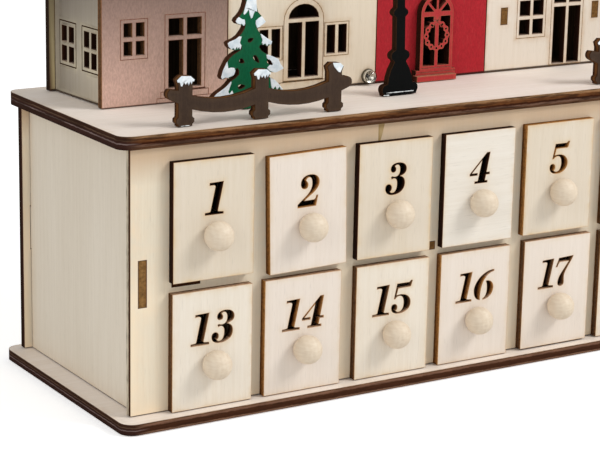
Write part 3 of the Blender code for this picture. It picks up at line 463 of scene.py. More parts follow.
# %% Sheet piece
def piece_from(bm, name, finishes=(), **values):
    """Object at the origin from a mesh, with numbers stored on its points."""
    mesh = bpy.data.meshes.new(name)
    bm.to_mesh(mesh)
    bm.free()
    for label, value in values.items():
        layer = mesh.attributes.new(name=label, type="FLOAT", domain="POINT")
        if not isinstance(value, list):
            value = [value] * len(mesh.vertices)
        layer.data.foreach_set("value", value)
    for finish in finishes:
        mesh.materials.append(finish)
    piece = bpy.data.objects.new(name, mesh)
    bpy.context.scene.collection.objects.link(piece)
    return piece


def sheet_object(name, bm, axis, finishes, shade, rim=0.25, pitch=2.0, reach=0.9,
                 reverse=0):
    """Piece from a closed sheet mesh; rim, pitch and reach are in millimetres.

    finishes are the face's, the cut edge's, then that of scored lines, of the faces
    that look along the axis towards reverse, and of cut faces that look up. Houses, end
    walls and the door give the fourth the painted shade of unlit insides and the fifth a
    lighter finish as painted light.
    """
    rim, pitch, reach = rim * MM, pitch * MM, reach * MM
    way = AXES[axis]
    bm.normal_update()
    edges_of_sheet = [face for face in bm.faces
                      if abs(face.normal[way]) < 0.9 or face.material_index >= 2]
    for face in edges_of_sheet:
        face.material_index = max(1, face.material_index)
    cut = set(edges_of_sheet)
    broad = [face for face in bm.faces if face not in cut]
    for face in broad:
        face.material_index = 0
    if rim:
        bmesh.ops.inset_region(bm, faces=broad, thickness=rim, depth=0.0,
                               use_even_offset=True, use_boundary=True)
        refilled(bm, [face for face in broad if face.is_valid], way, pitch)
    edges_of_sheet = [face for face in bm.faces if face.material_index]
    if len(finishes) > 4:
        for face in edges_of_sheet:
            if face.material_index == 1 and face.normal.z > 0.7:
                face.material_index = 4
    rim_points = {vert for face in edges_of_sheet if face.material_index == 1
                  for vert in face.verts}
    samples = []
    for edge in {e for face in edges_of_sheet for e in face.edges}:
        if all(face.material_index for face in edge.link_faces):
            continue
        first, last = (vert.co for vert in edge.verts)
        count = max(1, int((last - first).length / (0.5 * MM)))
        samples += [first.lerp(last, (step + 0.5) / count) for step in range(count)]
    tree = KDTree(max(1, len(samples)))
    for index, point in enumerate(samples):
        tree.insert(point, index)
    tree.balance()
    low = min(vert.co[way] for vert in bm.verts)
    high = max(vert.co[way] for vert in bm.verts)
    bm.verts.index_update()
    burn, halo, ply = [], [], []
    for vert in bm.verts:
        burn.append(1.0 if vert in rim_points else 0.0)
        distance = tree.find(vert.co)[2] if samples else 1.0
        halo.append(math.exp(-distance / reach))
        along = (vert.co[way] - low) / (high - low)
        ply.append(1.0 - along if way == 2 else along)
    bm.normal_update()
    for face in bm.faces:
        if reverse and face.material_index == 0 and face.normal[way] * reverse > 0.5:
            face.material_index = 3
    return piece_from(bm, name, finishes, burn=burn, halo=halo, ply=ply, shade=shade)


print("sheet routine ready")

# %% [markdown]
# ## Copies of the model's parts
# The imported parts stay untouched. Each is copied, its loose triangles are merged and its
# flat areas joined, and the dressed copy then stands for it.

# %% Copies and places
def copy_of(node_name):
    """Merged copy of a part's mesh, its flat areas joined."""
    bm = bmesh.new()
    bm.from_mesh(nodes[node_name].data)
    bmesh.ops.remove_doubles(bm, verts=bm.verts, dist=0.00001)
    bmesh.ops.dissolve_limit(bm, angle_limit=0.002, verts=bm.verts, edges=bm.edges)
    bmesh.ops.triangulate(bm, faces=bm.faces)
    for face in bm.faces:
        face.material_index = 0
    return bm


def plain_object(name, bm, finishes, shade, smooth=False):
    """Piece from a finished mesh that needs only its shade."""
    bmesh.ops.recalc_face_normals(bm, faces=bm.faces)
    for face in bm.faces:
        face.smooth = smooth
    return piece_from(bm, name, finishes, shade=shade)


def slit(bm, point, normal):
    """The whole mesh split along a plane."""
    bmesh.ops.bisect_plane(bm, geom=list(bm.verts) + list(bm.edges) + list(bm.faces),
                           dist=1e-7, plane_co=point, plane_no=normal)


def stands_for(piece, node_name, body="case"):
    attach(piece, body)
    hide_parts(node_name)


print("copies ready")

# %% [markdown]
# ## Base plate and lid
# The two plates overhang the case. Their edges show the layers best: a golden brown ply
# on top, a charred middle and a thin grey line below. The left ends are darker.

# %% Plates
LID_WOOD = veneer("lid_veneer", (0.85, 0.77, 0.7), (0.78, 0.69, 0.6), "X", stain=0.3)
# Painted shade: a near-black finish for the unlit insides of the rooms, the backs of the
# fronts and walls, and the undersides of the roofs.
ROOM_SHADE = veneer("room_painted_shade", (0.12, 0.074, 0.038), (0.045, 0.027, 0.013), "Z", stain=0.0,
              rim=(0.03, 0.016, 0.009), roughness=0.85, gloss=0.05)


def floor_of_rooms(bm):
    """The lid's top inside the street marked for painted shade, so that it reads as unlit.
    """
    near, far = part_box("house_front_1")[1][1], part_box("street_back")[1][1] - 2.9 * MM
    left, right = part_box("end_wall_left")[1][0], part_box("end_wall_right")[0][0]
    for depth in (near, far):
        slit(bm, (0, depth, 0), (0, 1, 0))
    for across in (left, right):
        slit(bm, (across, 0, 0), (1, 0, 0))
    for face in bm.faces:
        middle = face.calc_center_median()
        within = near < middle.y < far and left < middle.x < right
        if within and middle.z > LID_TOP - 0.1 * MM:
            face.material_index = 2


for label, shade, edge in (("base_plate", 0.13, BASE_EDGE), ("top_plate", 0.41, LID_EDGE)):
    bm = copy_of(label)
    if label == "top_plate":
        floor_of_rooms(bm)
    plate = sheet_object(label + "_dressed", bm, "Z", [LID_WOOD, edge, ROOM_SHADE],
                         shade, rim=0.3, pitch=5.0, reach=1.6)
    stands_for(plate, label)
    print(plate.name, len(plate.data.polygons), "faces")

# %% [markdown]
# ## Case
# The front panel is a frame of narrow bars round the drawer openings, with slots where
# the end panels and three uprights are tabbed in. The laser smoke lingers beside them, and
# warm light is painted into the gaps between the drawers; a painted shadow of the lid
# darkens the panel just below it, and the side panels a little towards the top.

# %% Case panels
# Painted light and shade: the tint beside the cuts is partly laser smoke and partly painted
# warm light; the first band is the painted shadow of the lid, the second paints warm light
# into the gaps of the lower row.
PANEL_WOOD = veneer("panel_veneer", (0.76, 0.685, 0.545), (0.695, 0.6, 0.455), "Z",
                    stain=0.6, halo_tint=(0.86, 0.65, 0.43),
                    bands=[eaves(-18, -8, 0.75, (0.49, 0.33, 0.2)),
                           ("Z", LID_TOP - 48 * MM, LID_TOP - 58 * MM, 0.55,
                            (0.94, 0.78, 0.56), True)])
# Painted shade: the side panels darken slightly towards the lid.
SIDE_WOOD = veneer("side_veneer", (0.77, 0.69, 0.57), (0.71, 0.625, 0.5), "Z",
                   stain=0.3, bands=[eaves(-95, -10, 0.1)])
CORNER_EDGE = cut_edge("edge_corner", [
    (0.0, (0.23, 0.11, 0.045)), (0.1, (0.05, 0.02, 0.008)),
    (0.4, (0.045, 0.018, 0.007)), (0.48, (0.56, 0.47, 0.34)),
    (1.0, (0.62, 0.54, 0.42))], (900, 900, 200))
GRID_WOOD = veneer("grid_veneer", (0.66, 0.56, 0.41), (0.52, 0.41, 0.27), "Y",
                   stain=0.4)
TAB_GOLD = cut_edge("tab_golden", [
    (0.0, (0.2, 0.1, 0.032)), (0.5, (0.27, 0.145, 0.048)),
    (1.0, (0.19, 0.09, 0.03))], (700, 700, 900))


def ends_a_tab(face):
    """True for a face that ends flush with the front panel."""
    return face.normal.y < -0.9 and face.calc_center_median().y < CASE_FRONT + 0.5 * MM


for label, axis, finish, shade in (("front_panel", "Y", PANEL_WOOD, 0.27),
                                   ("back_panel", "Y", PANEL_WOOD, 0.66),
                                   ("side_panel_left", "X", SIDE_WOOD, 0.35),
                                   ("side_panel_right", "X", SIDE_WOOD, 0.84)):
    bm = copy_of(label)
    bm.normal_update()
    (left, _, _), (right, _, _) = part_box(label)
    for face in bm.faces:
        across = face.calc_center_median().x
        if axis == "X" and ends_a_tab(face):
            face.material_index = 2
        elif (axis == "Y" and abs(face.normal.x) > 0.9
              and min(across - left, right - across) < 0.3 * MM):
            face.material_index = 3
    in_front = label == "front_panel"
    panel = sheet_object(label + "_dressed", bm, axis,
                         [finish, CHARRED if label == "back_panel" else TOASTED, TAB_GOLD,
                          CORNER_EDGE if in_front else CHARRED],
                         shade, rim=0.25, pitch=3.0, reach=4.5 if in_front else 1.3)
    stands_for(panel, label)
bm = copy_of("drawer_grid")
bm.normal_update()
for face in bm.faces:
    if ends_a_tab(face):
        face.material_index = 2
grid = sheet_object("drawer_grid_dressed", bm, "Y", [TOASTED, GRID_WOOD, TAB_GOLD], 0.52,
                    rim=0.0, pitch=0.0)
stands_for(grid, "drawer_grid")
print("case dressed")

# %% [markdown]
# ## The numerals
# The numbers are cut right through the fronts in a heavy, slanted book face with ball
# terminals. Counters that would fall out are held by a small break in the line, as in a
# stencil. Each numeral is a path in millimetres from its baseline: M moves, L draws a
# straight line, C a curve with two handles, and Z closes the outline.

# %% Numeral outlines
NUMERALS = {
    "0": "M4.9 11.6 C2 11 0 7.6 0 4.2 C0 1.9 1 .2 3 -.1 L3.1 .4 C2.7 1 2.7 2.4 3 4.1 "
         "C3.5 7.1 4.1 9.9 5.1 11.1 Z M5.8 11.6 C7.7 11.4 8.8 9.8 8.8 7.4 C8.8 4 6.7 .5 "
         "3.9 -.1 L3.8 .4 C4.8 1.5 5.4 4.4 5.9 7.4 C6.2 9.2 6.2 10.5 5.7 11.1 Z",
    "1": "M0 0 L7.3 0 L7.3 .75 L5.6 .9 C5.1 .95 5 1.1 5.1 1.5 L7.3 11.5 L1.85 11.3 "
         "L1.75 10.45 L3.3 10.45 C4 10.4 4.15 10.1 4.05 9.6 L2.25 1.5 C2.15 1.1 2 .95 "
         "1.6 .9 L0 .8 Z",
    "2": "M0 0 L7.6 0 L8.5 3.8 L7.85 3.8 C7.6 2.9 7.4 2.25 6.6 2.25 L2.7 2.25 C4.4 3.7 "
         "6.2 4.5 7.4 5.6 C8.5 6.6 9.1 7.6 9.1 8.7 C9.1 10.5 7.7 11.6 5.2 11.6 C2.9 11.6 "
         "1.4 10.3 1.4 8.5 C1.4 7.3 2.1 6.6 3.05 6.6 C3.9 6.6 4.4 7.2 4.4 8 C4.4 8.8 3.9 "
         "9.2 3.5 9.6 C3.7 10.3 4.3 10.75 4.9 10.75 C5.7 10.75 6.15 9.9 6.15 8.5 C6.15 "
         "6.6 5.2 5.2 3.6 3.9 C2.4 2.9 1 2 0 1.1 Z",
    "3": "M6.2 6.6 C8 6.9 9.1 7.8 9.1 9.1 C9.1 10.7 7.7 11.65 5.4 11.65 C3.5 11.65 2.2 "
         "10.8 2.2 9.5 C2.2 8.7 2.7 8.15 3.4 8.15 C4.1 8.15 4.5 8.7 4.5 9.3 C4.5 9.8 4.2 "
         "10.1 3.9 10.4 C4.2 10.8 4.6 10.95 5 10.95 C5.9 10.95 6.3 10.2 6.3 9 C6.3 7.6 "
         "5.7 6.9 4.9 6.6 C4.1 6.35 3.4 6.5 2.9 6.75 L2.4 6.5 L2.7 5.7 C3.1 5.9 3.5 6 "
         "3.9 5.95 C4.8 5.8 5.1 5 5.1 3.9 C5.1 1.9 4.4 .55 3.1 .55 C2.6 .55 2.2 .8 2 1.1 "
         "C2.5 1.4 2.8 1.9 2.8 2.5 C2.8 3.3 2.2 3.9 1.4 3.9 C.6 3.9 0 3.3 0 2.3 C0 .8 "
         "1.3 -.2 3.3 -.2 C6.5 -.2 8.5 1.5 8.5 3.8 C8.5 5.3 7.9 6.2 6.2 6.6 Z",
    "4": "M9.05 11.55 L7.6 11.5 L0 3.85 L0 3.1 L3.5 3.1 L3.5 3.95 L.85 3.95 L5.5 8.75 "
         "L3.75 .85 L2.3 .8 L2.3 0 L8.15 0 L8.15 .8 L6.95 .85 L7.45 3.1 L9.1 3.1 "
         "L9.1 3.95 L7.6 3.95 Z",
    "5": "M2.4 11.4 L7.8 11.4 L8.6 12.1 L9.2 12 L8.5 9.9 C8.3 9.65 8 9.6 7.6 9.6 L2.85 "
         "9.6 L2.15 6.9 C2.9 7.15 3.8 7.2 4.6 7.1 C7.1 6.9 8.5 5.5 8.5 3.6 C8.5 1.4 6.4 "
         "-.2 3.5 -.2 C1.3 -.2 0 .8 0 2.3 C0 3.2 .5 3.7 1.3 3.7 C2.1 3.7 2.6 3.1 2.6 2.4 "
         "C2.6 1.8 2.3 1.4 1.9 1.1 C2.2 .7 2.7 .5 3.3 .5 C4.7 .5 5.5 1.9 5.5 3.8 C5.5 "
         "5.7 4.8 6.7 3.5 6.6 C2.7 6.5 2.1 6.2 1.7 5.7 L1.1 5.6 Z",
    "6": "M9.2 11.3 C6.8 11.5 4.2 10.3 2.4 8.6 C.9 7.1 0 5.4 0 3.9 C0 1.9 1 .3 2.5 0 "
         "L2.9 0 C2.8 1.2 2.9 2.8 3.3 4.6 C3.9 7.2 5.4 9.9 9.15 10.75 Z M5.5 7.2 C7.7 "
         "7.4 9 6.2 9 4.3 C9 1.9 7 -.1 4.3 -.1 L4.2 .4 C5.6 .9 6.1 2.4 6.1 4.2 C6.1 5.5 "
         "5.9 6.5 5.5 7.2 Z",
    "7": "M1.5 11.4 L8.4 11.7 L8.2 11.2 C7.6 10.1 6.8 9 6 7.8 C4.8 6 4.1 4.9 4.1 3.6 "
         "C4.1 2.8 4.2 2.2 4.2 1.5 C4.2 .6 3.6 0 2.7 0 C1.8 0 1.2 .6 1.2 1.5 C1.2 3 2 "
         "4.3 3.2 5.8 L6.4 9.75 L2.6 9.75 C1.6 9.7 1.1 9.1 .75 7.9 L0 7.9 Z",
    "8": "M5.5 11.6 C3.6 11.5 2.6 10.4 2.6 9 C2.6 7.7 3.7 6.8 5.2 6.3 L5.3 6.8 C4.9 7.4 "
         "4.8 8.2 4.9 9.1 C5 10.1 5.2 10.8 5.6 11.1 Z M6.2 11.6 C8 11.5 8.8 10.5 8.8 9.2 "
         "C8.8 7.9 7.7 7 6 6.5 L5.9 7 C6.6 7.6 6.8 8.4 6.8 9.3 C6.8 10.2 6.6 10.9 6.2 "
         "11.1 Z M4.3 6 C1.6 5.4 0 4.3 0 2.7 C0 1 1.5 -.1 3.7 -.2 L3.8 .35 C2.7 .7 2.2 "
         "1.7 2.3 2.9 C2.4 4.1 3.1 5 4.4 5.5 Z M5 6.1 C7.3 5.6 8.6 4.5 8.6 3 C8.6 1.1 7 "
         "-.1 4.5 -.2 L4.4 .35 C5.3 .9 5.7 1.9 5.6 3 C5.5 4.1 5.2 5 4.9 5.6 Z",
}


def outlines(path, steps=7):
    """Closed outlines of a path, in millimetres."""
    loops, words = [], path.replace("Z", " Z ").split()
    place = 0
    while place < len(words):
        word = words[place]
        kind, first = word[0], word[1:]
        if kind == "Z":
            place += 1
            continue
        count = {"M": 2, "L": 2, "C": 6}[kind]
        numbers = [float(first)] + [float(w) for w in words[place + 1:place + count]]
        place += count
        points = list(zip(numbers[::2], numbers[1::2]))
        if kind == "M":
            loops.append([points[0]])
        elif kind == "L":
            loops[-1].append(points[0])
        else:
            start = Vector(loops[-1][-1])
            a, b, end = (Vector(point) for point in points)
            for step in range(1, steps + 1):
                t = step / steps
                spot = (start * (1 - t) ** 3 + a * 3 * t * (1 - t) ** 2
                        + b * 3 * t * t * (1 - t) + end * t ** 3)
                loops[-1].append((spot.x, spot.y))
    return loops


def turned_over(loops, width, height):
    return [[(width - u, height - v) for u, v in loop] for loop in loops]


numeral_loops = {digit: outlines(path) for digit, path in NUMERALS.items()}
numeral_loops["9"] = turned_over(numeral_loops["6"], 9.2, 11.4)
print("outlines per numeral:", {d: len(l) for d, l in sorted(numeral_loops.items())})

# %% [markdown]
# ## From outline to board
# Blender fills a flat curve and leaves the inner loops open, which is just what a
# laser-cut board with through-cut numbers needs. The curve is made a mesh first, and
# only then moved and turned to its place.

# %% Board from loops
def board(loops, near, thickness, axis="Y"):
    """Closed board mesh from loops (rim, then holes) in metres; near is its first face."""
    curve = bpy.data.curves.new("outline", "CURVE")
    curve.dimensions = "2D"
    curve.fill_mode = "BOTH"
    curve.extrude = thickness / 2
    for loop in loops:
        spline = curve.splines.new("POLY")
        spline.points.add(len(loop) - 1)
        for point, (u, v) in zip(spline.points, loop):
            point.co = (u, v, 0.0, 1.0)
        spline.use_cyclic_u = True
    carrier = bpy.data.objects.new("outline", curve)
    bpy.context.scene.collection.objects.link(carrier)
    bpy.context.view_layer.update()
    mesh = bpy.data.meshes.new_from_object(carrier)
    bpy.data.objects.remove(carrier, do_unlink=True)
    bm = bmesh.new()
    bm.from_mesh(mesh)
    bpy.data.meshes.remove(mesh)
    bmesh.ops.remove_doubles(bm, verts=bm.verts, dist=0.000005)
    for vert in bm.verts:
        u, v, depth = vert.co
        across = near + thickness / 2 + depth
        vert.co = {"X": (across, u, v), "Y": (u, across, v), "Z": (u, v, across)}[axis]
    bmesh.ops.recalc_face_normals(bm, faces=bm.faces)
    if bm.calc_volume(signed=True) < 0:
        bmesh.ops.reverse_faces(bm, faces=bm.faces)
    for face in bm.faces:
        face.material_index = 0
    return bm

print("board routine ready")

# %% [markdown]
# ## Two marks on the front panel
# A dark patch below the first drawer is painted shadow of its front, and a run of old
# glue has stained the panel under the lid. Paint on the panel could show them too, but a
# thin patch flush with it keeps their edges sharp.

# %% Marks on the panel
# Painted shadow: a dark patch where the first drawer's front shades the panel below it.
SHADOW_BELOW_FRONT_1 = ((16.0, 45.0), (27.4, 45.0), (27.4, 47.6), (16.0, 47.6))
GLUE_RUN = ((100.6, 88.6), (101.5, 89.0), (102.2, 91.2), (103.2, 95.4), (100.5, 95.4))
SHADOW_BROWN = (0.05, 0.018, 0.007)
SHADOW_PATCH = cut_edge("painted_shadow_patch", [(0.0, SHADOW_BROWN), (1.0, SHADOW_BROWN)])
GLUE_STAIN = speckled("glue_stain", 0.6, (500, 500, 160),
                      [(0.3, (0.27, 0.17, 0.06)), (0.7, (0.42, 0.3, 0.14))], gloss=0.2)
MARK_DEPTH = 0.06 * MM
for label, outline, finish in (("painted_shadow_below_front_1", SHADOW_BELOW_FRONT_1, SHADOW_PATCH),
                               ("glue_run", GLUE_RUN, GLUE_STAIN)):
    patch = [(CASE_LEFT + u * MM, BASE_TOP + v * MM) for u, v in outline]
    bm = board([patch], CASE_FRONT - MARK_DEPTH / 2, MARK_DEPTH)
    bmesh.ops.recalc_face_normals(bm, faces=bm.faces)
    mark = piece_from(bm, label, [finish], shade=0.4, ply=0.5, burn=0.0, halo=0.0)
    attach(mark, "case")
    print(mark.name, "on the front panel")

# %% [markdown]
# ## Drawer fronts
# A drawer is a front board, a turned ball knob glued to it and a plain open tray. The
# fronts were glued on by eye, so a few sit a little off, and they come from lighter and
# darker parts of the sheet. A boolean could cut the numbers, but a filled curve gives the
# board and its holes in one step.

# %% Finishes and places of the fronts
FRONT_SIZE = (32.0 * MM, 43.0 * MM)
FIRST_FRONT = (14.7, 0.35)
FRONT_PITCH = (38.0, 45.8)
FRONT_STANDS_OFF = 3.3 * MM
NUMERAL_BASE = 23.1 * MM
NUMERAL_WIDTHS = {"1": 7.3}
NUMERAL_WIDTH = 9.1
NUMERAL_GAP = 1.05
HAND_GLUED = {1: (0.2, 1.0, 0.0), 2: (0.7, -0.5, 1.4), 3: (-0.1, 0.0, 0.0),
              4: (-0.3, 0.0, 0.0), 5: (-0.7, 0.1, 0.0), 14: (-0.7, 0.0, 0.0),
              16: (-0.4, 0.0, 0.0), 17: (0.6, 0.3, 0.0)}
FRONT_RIM = (0.43, 0.22, 0.085)
AMBER = (0.64, 0.455, 0.23)
FRONT_TONES = {
    "cream": veneer("front_cream", (0.795, 0.725, 0.620), (0.745, 0.665, 0.550), "Z",
                    rim=FRONT_RIM, stain=0.75, halo_tint=AMBER),
    "warm": veneer("front_warm", (0.715, 0.630, 0.515), (0.670, 0.580, 0.455), "Z",
                   rim=FRONT_RIM, stain=0.95, halo_tint=AMBER),
    "white": veneer("front_white", (0.780, 0.725, 0.640), (0.720, 0.655, 0.560), "X",
                    rim=FRONT_RIM, stain=0.6, halo_tint=AMBER),
    "rosy": veneer("front_rosy", (0.780, 0.695, 0.610), (0.735, 0.645, 0.555), "Z",
                   rim=FRONT_RIM, stain=0.6, halo_tint=AMBER),
}
GOLDEN = cut_edge("edge_golden", [
    (0.0, (0.52, 0.25, 0.075)), (0.3, (0.42, 0.185, 0.05)),
    (0.36, (0.14, 0.052, 0.015)), (0.44, (0.35, 0.15, 0.04)),
    (0.64, (0.32, 0.135, 0.036)), (0.7, (0.12, 0.044, 0.013)),
    (1.0, (0.32, 0.14, 0.04))])
# Painted light: the cut faces of the lower fronts that look up get this lighter finish.
EDGE_TOP = cut_edge("edge_lit", [
    (0.0, (0.56, 0.33, 0.19)), (0.25, (0.48, 0.29, 0.17)),
    (0.34, (0.15, 0.07, 0.035)), (0.42, (0.42, 0.26, 0.16)),
    (0.66, (0.4, 0.25, 0.15)), (0.74, (0.16, 0.08, 0.04)),
    (1.0, (0.35, 0.2, 0.11))])
EDGE_OF = {1: CHARRED, 2: GOLDEN, 3: CHARRED, 4: CHARRED, 5: GOLDEN, 13: TOASTED,
           14: GOLDEN, 15: TOASTED, 16: GOLDEN, 17: TOASTED}
TONE_OF = {1: "warm", 2: "rosy", 3: "warm", 4: "white", 5: "warm", 13: "cream",
           14: "rosy", 15: "cream", 16: "rosy", 17: "rosy"}


def front_corner(number):
    """Lower left corner of a nominal front, in metres."""
    column = (number - 1) % 12
    row = 1 if number <= 12 else 0
    return (CASE_LEFT + (FIRST_FRONT[0] + FRONT_PITCH[0] * column) * MM,
            BASE_TOP + (FIRST_FRONT[1] + FRONT_PITCH[1] * row) * MM)


print("first front at", [round(part / MM, 1) for part in front_corner(1)])

# %% [markdown]
# ## Cutting and gluing the fronts
# The outline of a front and those of its digits go into one curve, which is then turned by
# the small angle at which the real front was glued.

# %% Drawer fronts
def numeral_paths(number):
    """The number's outlines in metres, centred on x = 0 above its baseline."""
    digits = str(number)
    widths = [NUMERAL_WIDTHS.get(digit, NUMERAL_WIDTH) for digit in digits]
    start = -(sum(widths) + NUMERAL_GAP * (len(digits) - 1)) / 2
    loops = []
    for digit, width in zip(digits, widths):
        for loop in numeral_loops[digit]:
            loops.append([((start + u) * MM, v * MM) for u, v in loop])
        start += width + NUMERAL_GAP
    return loops


def drawer_front(number):
    left, low = front_corner(number)
    middle = left + FRONT_SIZE[0] / 2
    rim = [(left, low), (left + FRONT_SIZE[0], low),
           (left + FRONT_SIZE[0], low + FRONT_SIZE[1]), (left, low + FRONT_SIZE[1])]
    loops = [rim]
    for loop in numeral_paths(number):
        loops.append([(middle + u, low + NUMERAL_BASE + v) for u, v in loop])
    bm = board(loops, CASE_FRONT - FRONT_STANDS_OFF, PLY)
    right_by, up_by, turn = HAND_GLUED.get(number, (0.0, 0.0, 0.0))
    pivot = Vector((middle, 0, low + FRONT_SIZE[1] / 2))
    bmesh.ops.rotate(bm, verts=bm.verts, cent=pivot,
                     matrix=Matrix.Rotation(-math.radians(turn), 3, "Y"))
    bmesh.ops.translate(bm, verts=bm.verts, vec=(right_by * MM, 0, up_by * MM))
    tone = FRONT_TONES[TONE_OF.get(number, ("cream", "rosy", "warm")[number % 3])]
    edge = EDGE_OF.get(number, (TOASTED, GOLDEN, CHARRED)[number % 3])
    finishes = [tone, edge] if number <= 12 else [tone, edge, edge, tone, EDGE_TOP]
    return sheet_object("drawer_front_%02d" % number, bm, "Y", finishes,
                        (number * 0.381) % 1.0, rim=0.2, pitch=1.4, reach=0.8)


for number in range(1, 25):
    front = drawer_front(number)
    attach(front, "pull_%02d" % number)
    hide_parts("drawer_%02d" % number)
print("drawer fronts:", 24)

# %% [markdown]
# ## Knobs
# The knobs are little turned balls with a flat foot, pale beech rubbed with oil. A
# profile spun about the pull direction gives the ball, and the year rings of the stick
# it was turned from run through it.

# %% Knobs
def knob_finish():
    material, tree, shader = new_finish("knob_beech", 0.45)
    rings = tree.nodes.new("ShaderNodeTexWave")
    rings.wave_type = "BANDS"
    rings.bands_direction = "X"
    rings.inputs["Scale"].default_value = 190.0
    rings.inputs["Distortion"].default_value = 2.5
    rings.inputs["Detail Scale"].default_value = 1.5
    where = tree.nodes.new("ShaderNodeTexCoord")
    tree.links.new(where.outputs["Object"], rings.inputs["Vector"])
    fibre = noise(tree, (500, 60, 1500), 3.0)
    figure = calc(tree, "ADD", calc(tree, "MULTIPLY", rings.outputs["Fac"], 0.1),
                  calc(tree, "MULTIPLY", fibre, 0.9))
    colour = ramp(tree, figure, [(0.34, (0.68, 0.56, 0.42)), (0.66, (0.74, 0.63, 0.49))])
    tree.links.new(colour, shader.inputs["Base Color"])
    relief(tree, shader, fibre, 0.05, 0.00003)
    return material


def spun(profile, steps, closed=False):
    """Profile of (radius, along Y) turned full circle about the Y axis."""
    bm = bmesh.new()
    verts = [bm.verts.new((radius, along, 0.0)) for radius, along in profile]
    edges = [bm.edges.new(pair) for pair in zip(verts, verts[1:])]
    if closed:
        edges.append(bm.edges.new((verts[-1], verts[0])))
    bmesh.ops.spin(bm, geom=verts + edges, cent=(0, 0, 0), axis=(0, 1, 0),
                   angle=math.tau, steps=steps, use_merge=True)
    bmesh.ops.remove_doubles(bm, verts=bm.verts, dist=0.00001)
    return bm


KNOB_WOOD = knob_finish()
KNOB_RADIUS = 5.3 * MM
KNOB_FOOT = 3.2 * MM
KNOB_END = 3.69 * MM
KNOB_PLACE = (-7.0, 16.2)


def turned_knob(number):
    left, low = front_corner(number)
    right_by, up_by, _ = HAND_GLUED.get(number, (0.0, 0.0, 0.0))
    last = math.asin(KNOB_FOOT / KNOB_RADIUS)
    profile = []
    for step in range(25):
        angle = (math.pi - last) * step / 24
        profile.append((KNOB_RADIUS * math.sin(angle), -KNOB_RADIUS * math.cos(angle)))
    profile[:3] = [(0.0, -KNOB_RADIUS), (0.9 * MM, -KNOB_RADIUS),
                   (1.3 * MM, -KNOB_RADIUS + 0.28 * MM)]
    profile = [point for point in profile if point[1] < KNOB_END - 0.3 * MM]
    profile += [(KNOB_FOOT - 0.15 * MM, KNOB_END - 0.25 * MM), (KNOB_FOOT, KNOB_END),
                (0.0, KNOB_END)]
    bm = spun(profile, 40)
    bmesh.ops.translate(bm, verts=bm.verts,
                        vec=(left + FRONT_SIZE[0] / 2 + right_by * MM,
                             CASE_FRONT + KNOB_PLACE[0] * MM,
                             low + (KNOB_PLACE[1] + up_by) * MM))
    return plain_object("knob_%02d" % number, bm, [KNOB_WOOD], (number * 0.617) % 1.0,
                        smooth=True)


for number in range(1, 25):
    knob = turned_knob(number)
    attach(knob, "pull_%02d" % number)
print("knobs:", 24, "of", len(knob.data.polygons), "faces")

# %% [markdown]
# ## Trays
# Behind each front sits an open tray of thin boards. The corners are comb joints: teeth
# of one board fill the gaps of the other. Each board is an outline with teeth, cut from
# the sheet like everything else, and the four of them make one glued piece.

# %% Tray boards
TRAY_BOARD = 2.0 * MM
TOOTH = 6.0 * MM
TRAY_HALF = 14.2 * MM
TRAY_HEIGHT = 38.0 * MM
TRAY_LIFT = 2.5 * MM
TRAY_WOOD = veneer("tray_veneer", (0.73, 0.65, 0.51), (0.61, 0.515, 0.375), "Y",
                   stain=0.45)


def comb(start, end, level, outwards, first_out):
    """Points of a toothed edge from start to end; teeth reach from level to outwards."""
    count = max(3, int(abs(end - start) / TOOTH) | 1)
    points = []
    for tooth in range(count):
        a = start + (end - start) * tooth / count
        b = start + (end - start) * (tooth + 1) / count
        height = outwards if (tooth % 2 == 0) == first_out else level
        points += [(a, height), (b, height)]
    return points


def clean(points):
    """Outline without repeated points."""
    kept = []
    for point in points:
        if not kept or math.dist(point, kept[-1]) > 1e-7:
            kept.append(point)
    if math.dist(kept[0], kept[-1]) < 1e-7:
        kept.pop()
    return kept


def swapped(points):
    return [(b, a) for a, b in points]


def joined(pieces):
    """Several board meshes in one, each keeping its own finish slots."""
    whole = bmesh.new()
    for piece in pieces:
        mesh = bpy.data.meshes.new("board")
        piece.to_mesh(mesh)
        piece.free()
        whole.from_mesh(mesh)
        bpy.data.meshes.remove(mesh)
    return whole


def tray(number):
    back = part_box("drawer_%02d" % number)[1][1]
    middle, floor_level = front_corner(number)
    middle += FRONT_SIZE[0] / 2
    left, right = middle - TRAY_HALF, middle + TRAY_HALF
    bottom = floor_level + TRAY_LIFT
    top = bottom + TRAY_HEIGHT
    front = CASE_FRONT
    t = TRAY_BOARD
    side = clean([(front, top), (front, bottom)]
                 + comb(front, back - t, bottom + t, bottom, True)
                 + swapped(comb(bottom + t, top, back - t, back, False))
                 + [(back - t, top)])
    boards = [board([side], left, t, "X"), board([side], right - t, t, "X")]
    base = clean([(left + t, front), (right - t, front)]
                 + swapped(comb(front, back - t, right - t, right, False))
                 + comb(right - t, left + t, back - t, back, False)
                 + swapped(comb(back - t, front, left + t, left, False)))
    boards.append(board([base], bottom, t, "Z"))
    rear = clean(comb(left + t, right - t, bottom + t, bottom, True)
                 + swapped(comb(bottom + t, top, right - t, right, True))
                 + [(right - t, top), (left + t, top)]
                 + swapped(comb(top, bottom + t, left + t, left, True)))
    boards.append(board([rear], back - t, t, "Y"))
    for bm, way in zip(boards, (0, 0, 2, 1)):
        for face in bm.faces:
            face.material_index = 0 if abs(face.normal[way]) > 0.9 else 1
    return piece_from(joined(boards), "tray_%02d" % number, [TRAY_WOOD, TOASTED],
                      burn=0.0, halo=0.12, ply=0.2, shade=(number * 0.29) % 1.0)


for number in range(1, 25):
    box_of_boards = tray(number)
    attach(box_of_boards, "pull_%02d" % number)
print("trays:", 24)

# %% [markdown]
# ## House fronts
# The laser cuts the panes out and, at low power, only scores the window frames, sills
# and steps. A score is a real groove 0.3 mm deep, so the lines are cut with thin boxes.
# The fronts are stained mauve or red or left bare, thinly enough to see the wood.

